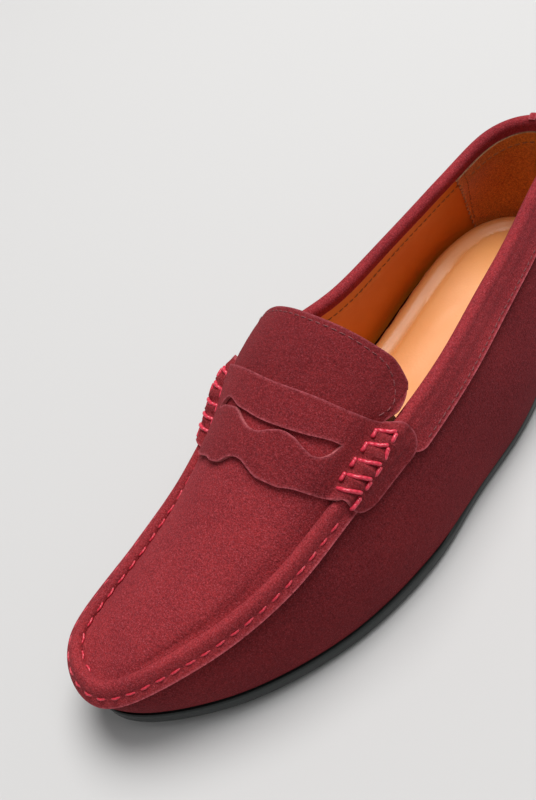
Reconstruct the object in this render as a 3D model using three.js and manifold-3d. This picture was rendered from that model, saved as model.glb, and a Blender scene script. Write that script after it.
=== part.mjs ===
// Penny loafer, left shoe: moccasin-seamed suede upper on a one-piece rubber sole.
// Millimetres, +Z up, toe towards -Y, heel towards +Y, outer (lateral) side towards +X.
import * as THREE from 'three';
import { mergeVertices } from 'three/addons/utils/BufferGeometryUtils.js';
import Module from 'manifold-3d';

const wasm = await Module();
wasm.setup();

// ---- driving dimensions ----
const heelY = 142; // y of the back of the sole
const centreX = 2.3; // shifts the outlines so that the box is centred on x = 0
const soleHeel = 14; // height of the sole under the heel
const soleFore = 7; // height of the sole under the ball
const toeSpring = 6; // how far the toe end of the sole lifts
const soleLip = 2; // how far the sole stands out past the upper
const waistLip = 0.4; // and how far at the waist
const waistLift = 2; // clearance under the arch
const breastS = 76; // front face of the heel, from the back of the sole
const archS = 105; // the arch is at its full height up to here
const waistEndS = 138; // where the sole meets the ground again
const heelEndS = 42; // the sole thins from here
const ballS = 112; // to here
const springS = 205; // the toe lifts from here
const soleLength = 284;
const gap = 0.3; // clearance between touching pieces
const suede = 1.4; // side wall leather
const apronSuede = 1.2; // apron, collar and tongue leather
const strapSuede = 1.3;
const liningLeather = 1;
const stiffener = 1.2;
const ridgeRadius = 1.7; // middle of the leather rolled over the seam
const ridgeInset = 4.2; // from the seam's crest to the foot of the ridge
const valleyDepth = 4; // dip of the apron beside the ridge
const valleyWidth = 4;
const roofPower = 2.2; // fullness of the arch across the apron
const bulge = 3; // how far the wall swells
const lowReach = 0.45; // length of the wall's lower handle, as a part of its height
const highReach = 0.25;
const highBulge = 3.9;
const marginWidth = 10; // upper turned in under the insole
const boardThick = 2;
const sockThick = 1;
const threadRadius = 0.4;
const lacingRadius = 0.55;
const sewLift = 0.9; // clearance under a thread, over the flats of the curved leather

// Outlines as stations from the back seam along the outer side, round the toe and
// back along the inner side: distance from the back of the sole, then x (and z).
const featherLine = [
	[0, 0.5], [9, 23], [37.5, 36], [94, 47.6], [136, 49.8], [175, 52], [217, 44], [258, 23.5],
	[284, -6], [272.5, -34.5], [234.5, -45], [192, -47], [150, -38.5], [105, -31], [38, -32], [9, -21],
];
const topLine = [
	[3.5, 1, 73.5], [12.5, 17, 73], [41.5, 22.5, 70.5], [94, 30, 64],
	[139, 36, 63], [177, 35.5, 58.5], [220, 30, 47.5], [255, 16, 38.5],
	[281, -5.5, 31], [273.5, -27.5, 31], [235, -30, 35.5], [194, -31, 47.5],
	[161, -37.5, 58.5], [110, -26.5, 58], [44.5, -20.5, 64.5], [14, -14, 70.5],
];
// Rise of the apron over the line between its two ridges, by distance from the back.
const crownLine = [[278, 0], [250, 6], [215, 14.5], [175, 26], [130, 33.5], [100, 35]];

// Columns run round the shoe: 0 back seam, 12 rear of the saddle on the outer side,
// 24 tip of the toe, 36 rear of the saddle on the inner side, 48 back seam again.
const stations = featherLine.length;
const toeColumn = 24;
const lastColumn = 48;
const outerSaddle = 4.5; // rear of the saddle in stations, outer side
const innerSaddle = 12; // rear of the saddle in stations, inner side
// Chords are counted from the toe, 0, to the rear of the saddle at the ridges.
const saddleRear = 12;
const apronRows = [0, 1, 2, 3, 4, 5, 6, 7, 8, 9, 10, 11, saddleRear];
const saddleRows = [9, 10, 11, saddleRear];
const saddleBow = 1.4; // chords by which the saddle's rear edge bows forwards on the crown
const bowGrowth = 2.4; // how fast the bow grows from the toe
const tongueEnd = 13.3;
const tongueCorner = 0.45; // chords by which the tongue is longer at its sides
const tongueFlare = 5; // rise of the tongue's inner corner
const heelLiningEdge = 5; // columns each side of the back seam

const clamp = THREE.MathUtils.clamp;
const lerp = THREE.MathUtils.lerp;
const smoothstep = THREE.MathUtils.smoothstep;

// ---- outlines and surfaces ----
const place = (x, s, z) => new THREE.Vector3(x - centreX, heelY - s, z);
const distance = (p) => heelY - p.y;
const loop = (list) => new THREE.CatmullRomCurve3(list, true, 'catmullrom', 0.5);
const featherCurve = loop(featherLine.map(([s, x]) => place(x, s, 0)));
const topCurve = loop(topLine.map(([s, x, z]) => place(x, s, z)));

function toeLift(s) {
	return toeSpring * clamp((s - springS) / (soleLength - springS), 0, 1) ** 1.8;
}

function soleTop(s) {
	return lerp(soleHeel, soleFore, smoothstep(s, heelEndS, ballS)) + toeLift(s);
}

function lip(s) {
	return lerp(soleLip, waistLip, smoothstep(s, 35, 80) * (1 - smoothstep(s, 130, 178)));
}

function crown(s) {
	const last = crownLine.length - 1;
	const at = clamp(s, crownLine[last][0], crownLine[0][0]);
	let n = 0;
	while (n < last - 1 && at < crownLine[n + 1][0]) n += 1;
	const slope = (m) => {
		const a = crownLine[Math.max(m - 1, 0)];
		const b = crownLine[Math.min(m + 1, last)];
		return (b[1] - a[1]) / (b[0] - a[0]);
	};
	const [s0, z0] = crownLine[n];
	const [s1, z1] = crownLine[n + 1];
	const f = (at - s0) / (s1 - s0);
	const step = s1 - s0;
	const rise = z1 - z0;
	const inner = f * (1 - f) * ((1 - f) * (slope(n) * step - rise) + f * (rise - slope(n + 1) * step));
	return z0 + rise * f + inner;
}

// Place on the outlines, 0 to 1, for a column from 0 to 48.
function columnU(column) {
	const marks = [0, outerSaddle, 8, innerSaddle, stations];
	const part = clamp(Math.floor(column / 12), 0, 3);
	return lerp(marks[part], marks[part + 1], (column - part * 12) / 12) / stations;
}

const wrap = (u) => ((u % 1) + 1) % 1;

function feather(u) {
	const p = featherCurve.getPoint(wrap(u));
	p.z = soleTop(distance(p));
	return p;
}

function outward(u) {
	const t = featherCurve.getTangent(wrap(u));
	return new THREE.Vector3(-t.y, t.x, 0).normalize();
}

const topPoint = (u) => topCurve.getPoint(wrap(u));

function wallCurve(u) {
	const out = outward(u);
	const low = feather(u);
	low.addScaledVector(out, -lip(distance(low)));
	low.z += gap + suede / 2;
	const high = topPoint(u);
	const height = high.z - low.z;
	const up = new THREE.Vector3(0, 0, 1);
	const lowHandle = low.clone().addScaledVector(out, bulge).addScaledVector(up, lowReach * height);
	const highHandle = high.clone().addScaledVector(out, highBulge).addScaledVector(up, -highReach * height);
	return new THREE.CubicBezierCurve3(low, lowHandle, highHandle, high);
}

const wallMiddle = (u, v) => wallCurve(u).getPoint(v);

// Point of the wall at height v, moved off its middle surface by depth.
function wallPoint(u, v, depth) {
	const e = 0.002;
	const across = wallMiddle(u + e, v).sub(wallMiddle(u - e, v));
	const upward = wallMiddle(u, v + e).sub(wallMiddle(u, v - e));
	const normal = upward.cross(across).normalize();
	return wallMiddle(u, v).addScaledVector(normal, depth);
}

// Height on the wall that lies a given length below its top edge.
function wallBelow(u, length) {
	const curve = wallCurve(u);
	const steps = 200;
	let walked = 0;
	for (let n = steps; n > 0; n -= 1) {
		walked += curve.getPoint(n / steps).distanceTo(curve.getPoint((n - 1) / steps));
		if (walked >= length) return (n - 1) / steps;
	}
	return 0;
}

// Point beside the top edge: a outwards from it and b up along the wall.
function rimPoint(u, a, b) {
	const t = topCurve.getTangent(wrap(u));
	const curve = wallCurve(u);
	const up = curve.v3.clone().sub(curve.v2).normalize();
	const out = up.clone().cross(t).normalize();
	up.crossVectors(t, out);
	return topPoint(u).addScaledVector(out, a).addScaledVector(up, b);
}

// The two ends of a chord; past the saddle both keep the same distance from the heel.
function chordEnds(chord) {
	if (chord <= saddleRear) return [columnU(toeColumn - chord), columnU(toeColumn + chord)];
	const past = chord - saddleRear;
	return [(outerSaddle - 0.225 * past) / stations, (innerSaddle + 0.17 * past) / stations];
}

// Chord at which a row crosses the crown; it bows forwards of the chord at the ridges.
function bowed(row, t) {
	const bow = saddleBow * (row / saddleRear) ** bowGrowth;
	return row - bow * (1 - Math.abs(t) ** roofPower);
}

// Foot of the ridge on the apron's side.
function innerRim(u) {
	const t = topCurve.getTangent(wrap(u));
	const out = new THREE.Vector3(-t.y, t.x, 0).normalize();
	return topPoint(u).addScaledVector(out, -ridgeInset);
}

// Middle surface of apron and tongue: t runs from -1 (inner side) to 1 (outer side).
function roofPoint(chord, t) {
	const [outer, inner] = chordEnds(chord).map(innerRim);
	const half = outer.distanceTo(inner) / 2;
	const across = Math.abs(t) * half / (half + ridgeInset);
	const p = inner.lerp(outer, (1 + t) / 2);
	const rise = crown(distance(p));
	const fromRidge = (1 - across) * (half + ridgeInset) / valleyWidth;
	const valley = valleyDepth * Math.min(rise / 12, 1) * Math.exp(-fromRidge * fromRidge);
	p.z += rise * (1 - across ** roofPower) - valley;
	return p;
}

function roofOffset(chord, t, depth) {
	if (chord === 0) return roofPoint(0, t).add(new THREE.Vector3(0, 0, depth));
	const e = 0.02;
	const along = roofPoint(chord + e, t).sub(roofPoint(chord - e, t));
	const across = roofPoint(chord, t + e).sub(roofPoint(chord, t - e));
	const normal = across.cross(along).normalize();
	if (normal.z < 0) normal.negate();
	return roofPoint(chord, t).addScaledVector(normal, depth);
}

// ---- closed solids from grids of points ----
function closedBody(triangles) {
	const geometry = new THREE.BufferGeometry();
	const numbers = triangles.flatMap((p) => [p.x, p.y, p.z]);
	geometry.setAttribute('position', new THREE.Float32BufferAttribute(numbers, 3));
	const merged = mergeVertices(geometry, 0.002);
	const old = merged.index.array;
	const kept = [];
	for (let n = 0; n < old.length; n += 3) {
		const [a, b, c] = [old[n], old[n + 1], old[n + 2]];
		if (a !== b && b !== c && c !== a) kept.push(a, b, c);
	}
	if (signedVolume(merged.attributes.position, kept) < 0) kept.reverse();
	merged.setIndex(kept);
	merged.computeVertexNormals();
	return merged;
}

function signedVolume(position, index) {
	const [a, b, c] = [new THREE.Vector3(), new THREE.Vector3(), new THREE.Vector3()];
	let sum = 0;
	for (let n = 0; n < index.length; n += 3) {
		a.fromBufferAttribute(position, index[n]);
		b.fromBufferAttribute(position, index[n + 1]);
		c.fromBufferAttribute(position, index[n + 2]);
		sum += a.dot(b.cross(c));
	}
	return sum;
}

const quad = (a, b, c, d) => [a, b, c, a, c, d];

// A grid whose first row is folded on itself has its neighbour past that row in row 1.
function gridNormals(grid, folded) {
	const rows = grid.length;
	const cols = grid[0].length;
	const at = (i, j) => {
		if (i < 0) return folded ? grid[1][cols - 1 - j] : grid[0][j];
		return grid[Math.min(i, rows - 1)][clamp(j, 0, cols - 1)];
	};
	const normals = grid.map((row, i) => row.map((_, j) => {
		const along = at(i + 1, j).clone().sub(at(i - 1, j));
		const across = at(i, j + 1).clone().sub(at(i, j - 1));
		return along.cross(across).normalize();
	}));
	for (const row of normals) {
		const first = row.find((n) => n.lengthSq() > 0.5);
		row.forEach((n, j) => {
			if (n.lengthSq() < 0.5) n.copy(j > 0 ? row[j - 1] : first);
		});
	}
	return normals;
}

// A sheet of leather: the grid is its middle, closed along its edges.
function sheet(grid, thickness, folded = false) {
	const normals = gridNormals(grid, folded);
	const move = (d) => grid.map((row, i) => row.map((p, j) => p.clone().addScaledVector(normals[i][j], d)));
	const top = move(thickness / 2);
	const low = move(-thickness / 2);
	const rows = grid.length - 1;
	const cols = grid[0].length - 1;
	const out = [];
	for (let i = 0; i < rows; i += 1) {
		for (let j = 0; j < cols; j += 1) {
			out.push(...quad(top[i][j], top[i + 1][j], top[i + 1][j + 1], top[i][j + 1]));
			out.push(...quad(low[i][j], low[i][j + 1], low[i + 1][j + 1], low[i + 1][j]));
		}
		out.push(...quad(top[i][0], low[i][0], low[i + 1][0], top[i + 1][0]));
		out.push(...quad(top[i][cols], top[i + 1][cols], low[i + 1][cols], low[i][cols]));
	}
	for (let j = 0; j < cols; j += 1) {
		if (!folded) out.push(...quad(top[0][j], top[0][j + 1], low[0][j + 1], low[0][j]));
		out.push(...quad(top[rows][j], low[rows][j], low[rows][j + 1], top[rows][j + 1]));
	}
	return closedBody(out);
}

// A solid through closed rings with equal counts of points, capped at both ends.
function loft(rings) {
	const out = [];
	const count = rings[0].length;
	for (let i = 0; i + 1 < rings.length; i += 1) {
		for (let j = 0; j < count; j += 1) {
			const k = (j + 1) % count;
			out.push(...quad(rings[i][j], rings[i + 1][j], rings[i + 1][k], rings[i][k]));
		}
	}
	for (const [ring, turn] of [[rings[0], 1], [rings[rings.length - 1], -1]]) {
		for (let j = 1; j + 1 < count; j += 1) {
			out.push(ring[0], turn > 0 ? ring[j] : ring[j + 1], turn > 0 ? ring[j + 1] : ring[j]);
		}
	}
	return closedBody(out);
}

function tube(points, radius, sides) {
	const round = new THREE.Shape();
	round.absarc(0, 0, radius, 0, Math.PI * 2);
	return tidied(new THREE.ExtrudeGeometry(round, {
		steps: points.length - 1,
		curveSegments: sides / 2,
		bevelEnabled: false,
		extrudePath: new THREE.CatmullRomCurve3(points, false, 'catmullrom', 0.5),
	}));
}

// A strand that keeps exactly to its points, for a route with tight turns.
function strand(points, radius, sides) {
	const side = new THREE.Vector3(0, 1, 0);
	return loft(points.map((p, n) => {
		const ahead = points[Math.min(n + 1, points.length - 1)];
		const along = ahead.clone().sub(points[Math.max(n - 1, 0)]).normalize();
		side.addScaledVector(along, -side.dot(along)).normalize();
		const up = along.clone().cross(side);
		return range(0, sides - 1).map((k) => {
			const a = (k / sides) * Math.PI * 2;
			return p.clone().addScaledVector(side, radius * Math.cos(a)).addScaledVector(up, radius * Math.sin(a));
		});
	}));
}

function tidied(geometry) {
	geometry.deleteAttribute('normal');
	geometry.deleteAttribute('uv');
	return mergeVertices(geometry, 0.0005);
}

function toManifold(geometry) {
	return new wasm.Manifold(new wasm.Mesh({
		numProp: 3,
		vertProperties: new Float32Array(geometry.attributes.position.array),
		triVerts: new Uint32Array(geometry.index.array),
	}));
}

function fromManifold(solid) {
	const mesh = solid.getMesh();
	const geometry = new THREE.BufferGeometry();
	geometry.setAttribute('position', new THREE.Float32BufferAttribute(mesh.vertProperties, 3));
	geometry.setIndex([...mesh.triVerts]);
	return geometry;
}

const cut = (geometry, tool) => fromManifold(toManifold(geometry).subtract(toManifold(tool)));

const range = (from, to) => Array.from({ length: to - from + 1 }, (_, n) => from + n);

// ---- finishes ----
function finish(color, roughness, metalness = 0) {
	return () => new THREE.MeshStandardMaterial({ color, roughness, metalness });
}

const finishes = {
	rubber: finish(0x1b2222, 0.6),
	suede: finish(0x7d2a38, 0.95),
	tanLeather: finish(0xd08b4e, 0.45),
	heelSuede: finish(0x8a5230, 0.9),
	board: finish(0xb79f7c, 0.9),
	foam: finish(0xd8d2c2, 0.95),
	cork: finish(0xa37a4c, 0.95),
	steel: finish(0x9aa0a6, 0.35, 1),
	stiffener: finish(0xcfc3ae, 0.85),
	thread: finish(0xc8465c, 0.5),
	darkThread: finish(0x5a1f2b, 0.6),
	tanThread: finish(0xb98a55, 0.6),
};

const shoe = new THREE.Group();

function add(name, geometry, material) {
	const mesh = new THREE.Mesh(geometry, finishes[material]());
	mesh.name = name;
	shoe.add(mesh);
}

// ---- sole and insole pieces: rings across the shoe, one per pair of columns ----
function slabRing(column, inset, lowZ, highZ, edge) {
	const level = (p, z) => new THREE.Vector3(p.x, p.y, z(distance(p)));
	const rimAt = (k, more) => feather(columnU(k)).addScaledVector(outward(columnU(k)), -inset - more);
	const rim = (k) => edge.map(([more, z]) => level(rimAt(k, more), z));
	const [start, end] = [rimAt(column, 0.5), rimAt(lastColumn - column, 0.5)];
	const between = (z) => [0.25, 0.5, 0.75].map((f) => level(start.clone().lerp(end, f), z));
	const below = between(lowZ).reverse();
	return [...rim(column), ...between(highZ), ...rim(lastColumn - column).reverse(), ...below];
}

function slab(inset, lowZ, highZ, from = 0, to = toeColumn, edge = [[0, lowZ], [0, highZ]]) {
	return loft(range(from, to).map((column) => slabRing(column, inset, lowZ, highZ, edge)));
}

function outsole() {
	const edge = [
		[1.4, toeLift],
		[0.3, (s) => toeLift(s) + 1.2],
		[0, (s) => soleTop(s) - 1.3],
		[0.9, soleTop],
	];
	const blank = slab(0, toeLift, soleTop, 0, toeColumn, edge);
	const arch = new THREE.Shape();
	const profile = [
		[breastS, -1], [breastS, waistLift], [archS, waistLift],
		[122, 1.1], [waistEndS, 0], [waistEndS, -1],
	];
	arch.setFromPoints(profile.map(([s, z]) => new THREE.Vector2(heelY - s, z)));
	const tool = new THREE.ExtrudeGeometry(arch, { depth: 140, bevelEnabled: false });
	tool.applyMatrix4(new THREE.Matrix4().set(0, 0, 1, -70, 1, 0, 0, 0, 0, 1, 0, 0, 0, 0, 0, 1));
	return cut(blank, tidied(tool));
}

const over = (lift) => (s) => soleTop(s) + lift;
const marginTop = gap + suede;
const boardLow = marginTop + gap;
const boardTop = boardLow + boardThick;
const foamLow = boardTop + gap;
const foamTop = (s) => soleTop(s) + foamLow + lerp(4.6, 2.6, smoothstep(s, 80, 170));
const boardInset = 4.5;
const cushionInset = 7;
const fillerInset = soleLip + marginWidth + 3;

add('outsole', outsole(), 'rubber');
add('insole_board', slab(boardInset, over(boardLow), over(boardTop)), 'board');
add('footbed_foam', slab(cushionInset, over(foamLow), foamTop), 'foam');
const sockLow = (s) => foamTop(s) + gap;
const sockTop = (s) => sockLow(s) + sockThick;
add('sock_liner', slab(cushionInset, sockLow, sockTop), 'tanLeather');
add('forefoot_filler', slab(fillerInset, over(gap), over(marginTop), 14, 22), 'cork');

function shank() {
	const half = 6.5;
	const rings = range(5, 12).map((column) => {
		const [a, b] = [feather(columnU(column)), feather(columnU(lastColumn - column))];
		const middle = a.lerp(b, 0.5);
		const z = soleTop(distance(middle)) + gap;
		const corners = [[-half, 0.1], [half, 0.1], [half, 1.2], [-half, 1.2]];
		return corners.map(([dx, dz]) => new THREE.Vector3(middle.x + dx, middle.y, z + dz));
	});
	return loft(rings);
}

add('shank', shank(), 'steel');

// ---- side wall: turned in under the insole, up the side and into the seam ----
const collarTop = 5.5; // the wall stops this far below the collar's crest

function sideWall() {
	const seam = 0.02;
	const columns = range(0, lastColumn).map((k) => clamp(k, seam, lastColumn - seam));
	const heights = [0.07, 0.22, 0.4, 0.58, 0.76, 0.9, 1];
	return sheet(columns.map((k) => {
		const u = columnU(k);
		const low = wallMiddle(u, 0);
		const out = outward(u);
		const rear = k < 11.5 || k > 36.5;
		const top = rear ? wallBelow(u, collarTop) : 1;
		const margin = [marginWidth, marginWidth / 2, 1.2].map((d) => {
			const p = low.clone().addScaledVector(out, -d);
			p.z = soleTop(distance(p)) + gap + suede / 2;
			return p;
		});
		return [...margin, ...heights.map((v) => wallMiddle(u, v * top))];
	}), suede);
}

add('side_wall', sideWall(), 'suede');

// ---- layers inside the wall ----
function liningDepth(below) {
	return -lerp(1.8, 3, smoothstep(below, 3, 12));
}

// A piece lining the wall over a run of columns; tops are lengths below the top edge.
function wallPatch(columns, bottom, tops, depth, thickness) {
	return sheet(columns.map((k) => {
		const u = columnU((k + lastColumn) % lastColumn);
		const join = wallBelow(u, tops[0]);
		const low = [0, 0.35, 0.7].map((f) => wallPoint(u, lerp(bottom, join, f), depth(tops[0])));
		const high = tops.map((below) => wallPoint(u, wallBelow(u, below), depth(below)));
		return [...low, ...high];
	}), thickness);
}

const edgeGap = 0.03; // in columns, between pieces that butt
const behind = () => -(suede / 2 + gap + stiffener / 2);
const liningTops = [14, 8, 3.4];
const liningBottom = 0.1;
const heelColumns = range(-heelLiningEdge, heelLiningEdge);
const heelLining = wallPatch(heelColumns, liningBottom, liningTops, liningDepth, liningLeather);

add('heel_counter', wallPatch(range(-7, 7), 0.09, [16], behind, stiffener), 'stiffener');
add('toe_puff', wallPatch(range(20, 28), 0.12, [6], behind, stiffener), 'stiffener');
add('heel_lining', heelLining, 'heelSuede');

function quarterLining(from, to) {
	const columns = [from + edgeGap, ...range(from + 1, to - 1), to - edgeGap];
	return wallPatch(columns, liningBottom, liningTops, liningDepth, liningLeather);
}

add('quarter_lining_lateral', quarterLining(heelLiningEdge, 12), 'tanLeather');
add('quarter_lining_medial', quarterLining(36, lastColumn - heelLiningEdge), 'tanLeather');

function vampLining() {
	const parts = [0.92, 0.75, 0.5, 0.25, 0, -0.25, -0.5, -0.75, -0.92];
	const drop = -(apronSuede / 2 + gap + liningLeather / 2 + 0.8);
	const grid = apronRows.map((row) => {
		const back = Math.min(row, saddleRear - edgeGap);
		const [outer, inner] = chordEnds(back);
		const wallSide = (u) => {
			const top = wallBelow(u, 6.5);
			return [0.12, lerp(0.12, top, 0.5), top].map((v) => wallPoint(u, v, -3));
		};
		const roof = parts.map((t) => roofOffset(bowed(back, t), t, drop));
		return [...wallSide(outer), ...roof, ...wallSide(inner).reverse()];
	});
	return sheet(grid, liningLeather, true);
}

add('vamp_lining', vampLining(), 'tanLeather');

// ---- apron: lip outside the wall, rolled over the seam, then the domed vamp ----
const lipLength = 4.6;
const coverDepth = suede / 2 + gap + apronSuede / 2;
const rollAngles = [0, 45, 90, 140];
const collarAngles = [0, 45, 90, 135, 180];
const strapAngles = [0, 50, 95];
const roofParts = [1, 0.85, 0.6, 0.3, 0, -0.3, -0.6, -0.85, -1];

// Points down the outer face of the ridge, from low to high, and over the roll.
function ridgeSide(u, lift, depths, angles) {
	const wall = depths.map(([below, more]) => wallPoint(u, wallBelow(u, below), coverDepth + more));
	const radius = ridgeRadius + lift;
	const roll = angles.map((angle) => {
		const a = THREE.MathUtils.degToRad(angle);
		return rimPoint(u, radius * Math.cos(a), radius * Math.sin(a));
	});
	return [...wall, ...roll];
}

function coverRow(row, lift, depths, angles) {
	const [outer, inner] = chordEnds(row);
	const roof = roofParts.map((t) => roofOffset(bowed(row, t), t, lift));
	const side = (u) => ridgeSide(u, lift, depths, angles);
	return [...side(outer), ...roof, ...side(inner).reverse()];
}

function apron() {
	const lip = [[lipLength, 0], [2.2, 0]];
	return sheet(apronRows.map((row) => coverRow(row, 0, lip, rollAngles)), apronSuede, true);
}

add('apron', apron(), 'suede');

// ---- saddle strap over the apron, its tabs down both walls, with the slot cut out ----
const strapLift = (apronSuede + strapSuede) / 2 + gap;
const tabLength = 12.5;
const slotShape = [
	[-10.5, 186], [2, 187], [18, 184.5], [25, 181.5], [30, 177.5], [28, 183.5], [23, 187.5],
	[17, 188], [10, 187.8], [5, 191], [-1, 191.5], [-7, 189],
];

function saddleStrap() {
	const tab = [[tabLength, 0.1], [8, 0.5], [lipLength, strapLift], [2.2, strapLift]];
	const blank = sheet(saddleRows.map((row) => coverRow(row, strapLift, tab, strapAngles)), strapSuede);
	const outline = new THREE.Shape(slotShape.map(([x, s]) => new THREE.Vector2(x - centreX, heelY - s)));
	const tool = new THREE.ExtrudeGeometry(outline, { depth: 60, bevelEnabled: false });
	tool.translate(0, 0, 60);
	return cut(blank, tidied(tool));
}

add('saddle_strap', saddleStrap(), 'suede');

// ---- tongue: the free flap behind the saddle ----
// A point on the tongue: g runs from 0 at the saddle to 1 at the free end.
function tonguePoint(g, t, depth) {
	const from = bowed(saddleRear + 0.07, t);
	const to = tongueEnd + tongueCorner * t * t;
	const p = roofOffset(lerp(from, to, g), t, depth);
	p.z += t < 0 ? tongueFlare * g * g * Math.abs(t) ** 1.5 : 0;
	return p;
}

function tongueGrid(depth) {
	const rows = [0, 0.25, 0.5, 0.75, 0.9, 1];
	const reach = [0.97, 0.99, 0.99, 0.97, 0.92, 0.8];
	const parts = [1, 0.75, 0.5, 0.25, 0, -0.25, -0.5, -0.75, -1];
	return rows.map((g, n) => parts.map((t) => tonguePoint(g, t * reach[n], depth)));
}

const tongueLiningDrop = -(apronSuede / 2 + gap + liningLeather / 2);
add('tongue', sheet(tongueGrid(0), apronSuede), 'suede');
add('tongue_lining', sheet(tongueGrid(tongueLiningDrop), liningLeather), 'tanLeather');

// ---- collar: a band folded over a foam roll, in two halves ----
const bandHeight = 13.5;

function collarRow(u) {
	const outside = [[bandHeight, 0], [9, 0], [5.5, -0.1], [2.4, 0.05]];
	return [...ridgeSide(u, 0.05, outside, collarAngles), rimPoint(u, -ridgeRadius - 0.1, -2.6)];
}

function collarBand(from, to) {
	const columns = [from + edgeGap, ...range(from + 1, to - 1), to - edgeGap];
	return sheet(columns.map((k) => collarRow(columnU(k))), apronSuede);
}

add('collar_band_lateral', collarBand(0, 12), 'suede');
add('collar_band_medial', collarBand(36, lastColumn), 'suede');

function collarPadding() {
	const section = [[0.7, 0], [0, 0.7], [-0.7, 0], [-0.7, -4.3], [0.7, -4.3]];
	const columns = range(37, 59);
	const rings = columns.map((k) => section.map(([a, b]) => rimPoint(columnU(k % lastColumn), a, b)));
	return loft(rings);
}

add('collar_padding', collarPadding(), 'foam');

// ---- back stay over the seam at the heel ----
function backStay() {
	const lift = apronSuede + gap;
	const columns = [-0.45, 0, 0.45];
	const belows = [bandHeight - 1.5, 9, 5.5, 2.4];
	return sheet(columns.map((k) => {
		const u = columnU((k + lastColumn) % lastColumn);
		const top = wallBelow(u, bandHeight + 3.5);
		const low = [0.08, 0.3, 0.55].map((v) => wallPoint(u, v * top / 0.8, coverDepth));
		const high = belows.map((below) => wallPoint(u, wallBelow(u, below), coverDepth + lift));
		const roll = [0, 45, 90].map((angle) => {
			const a = THREE.MathUtils.degToRad(angle);
			const r = ridgeRadius + lift;
			return rimPoint(u, r * Math.cos(a), r * Math.sin(a));
		});
		return [...low, ...high, ...roll];
	}), apronSuede);
}

add('back_stay', backStay(), 'suede');

// ---- sewing: each thread is one closed strand just off the leather ----
const onFace = (thickness, radius) => thickness / 2 + sewLift + radius;

function apronThread() {
	const lift = coverDepth + onFace(apronSuede, threadRadius);
	const points = range(saddleRear + 4, lastColumn - saddleRear - 4).map((k) => {
		const u = columnU(k);
		return wallPoint(u, wallBelow(u, 2.4), lift);
	});
	return tube(points, threadRadius, 6);
}

add('apron_seam_thread', apronThread(), 'thread');

// Five turns over the ridge: down the outside, back over and on to the next.
function lashing(side) {
	const lift = strapLift + onFace(strapSuede, lacingRadius) + gap;
	const turns = 5;
	const points = [];
	for (let n = 0; n < turns * 2; n += 1) {
		const chord = lerp(saddleRows[0] + 0.3, saddleRear - 0.4, n / (turns * 2 - 1));
		const u = chordEnds(chord)[side];
		const radius = ridgeRadius + lift;
		const low = wallPoint(u, wallBelow(u, 5), coverDepth + lift);
		const roll = [0, 50].map((angle) => {
			const a = THREE.MathUtils.degToRad(angle);
			return rimPoint(u, radius * Math.cos(a), radius * Math.sin(a));
		});
		const inside = [1, 0.85].map((t) => roofOffset(bowed(chord, t), side ? -t : t, lift + gap));
		const pass = [low, ...roll, ...inside];
		points.push(...(n % 2 ? pass.reverse() : pass));
	}
	return strand(points, lacingRadius, 6);
}

add('saddle_lashing_lateral', lashing(0), 'thread');
add('saddle_lashing_medial', lashing(1), 'thread');

function tongueThread() {
	const lift = onFace(apronSuede, threadRadius);
	const route = [
		[0.2, 0.88], [0.45, 0.89], [0.65, 0.88], [0.78, 0.82],
		[0.86, 0.7], [0.88, 0.5], [0.88, 0.25],
	];
	const back = route.map(([g, t]) => [g, -t]).reverse();
	const points = [...route, [0.88, 0], ...back].map(([g, t]) => tonguePoint(g, t, lift));
	return tube(points, threadRadius, 6);
}

add('tongue_edge_thread', tongueThread(), 'darkThread');

function collarThread(from, to) {
	const lift = coverDepth + onFace(apronSuede, threadRadius);
	const places = range(from * 2, to * 2).map((n) => columnU(n / 2));
	const points = places.map((u) => wallPoint(u, wallBelow(u, bandHeight - 2), lift));
	return tube(points, threadRadius, 6);
}

add('collar_seam_thread_lateral', collarThread(1, 11), 'darkThread');
add('collar_seam_thread_medial', collarThread(37, 47), 'darkThread');

function liningThread(column) {
	const u = columnU(column);
	const drop = onFace(liningLeather, threadRadius);
	const points = [44, 34, 24, 16, 10, 6].map((below) => {
		return wallPoint(u, wallBelow(u, below), liningDepth(below) - drop);
	});
	return tube(points, threadRadius, 6);
}

add('lining_seam_thread_lateral', liningThread(heelLiningEdge + 0.3), 'tanThread');
add('lining_seam_thread_medial', liningThread(lastColumn - heelLiningEdge - 0.3), 'tanThread');

export default shoe;
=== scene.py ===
# Suede penny loafer, left shoe. Shape functions work in millimetres, meshes are in metres.
import math

import bmesh
import bpy
import numpy as np
from mathutils import Matrix, Vector
from mathutils.kdtree import KDTree


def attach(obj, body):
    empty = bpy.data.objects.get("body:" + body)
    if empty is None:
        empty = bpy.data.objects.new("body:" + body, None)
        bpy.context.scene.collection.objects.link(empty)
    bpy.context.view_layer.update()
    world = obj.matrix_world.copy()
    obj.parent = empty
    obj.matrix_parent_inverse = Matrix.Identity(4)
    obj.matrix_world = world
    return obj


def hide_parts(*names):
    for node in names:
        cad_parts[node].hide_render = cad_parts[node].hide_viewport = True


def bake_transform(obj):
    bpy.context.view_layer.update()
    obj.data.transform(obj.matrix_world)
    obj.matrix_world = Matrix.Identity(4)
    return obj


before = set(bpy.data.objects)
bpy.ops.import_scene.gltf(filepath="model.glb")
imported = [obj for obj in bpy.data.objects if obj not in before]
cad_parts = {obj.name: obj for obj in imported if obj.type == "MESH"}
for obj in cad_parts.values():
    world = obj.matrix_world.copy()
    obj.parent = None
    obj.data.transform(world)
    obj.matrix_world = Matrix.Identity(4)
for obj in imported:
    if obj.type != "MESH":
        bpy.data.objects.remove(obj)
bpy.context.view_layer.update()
mm = 0.001

# camera
camera = {
    "azimuth": 56.89, "elevation": 46.66, "roll": -22.02, "distance": 340.33,
    "target": (-31.99, -17.92, 40.0), "lens": 38.26, "sensor": 36.0,
}


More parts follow.
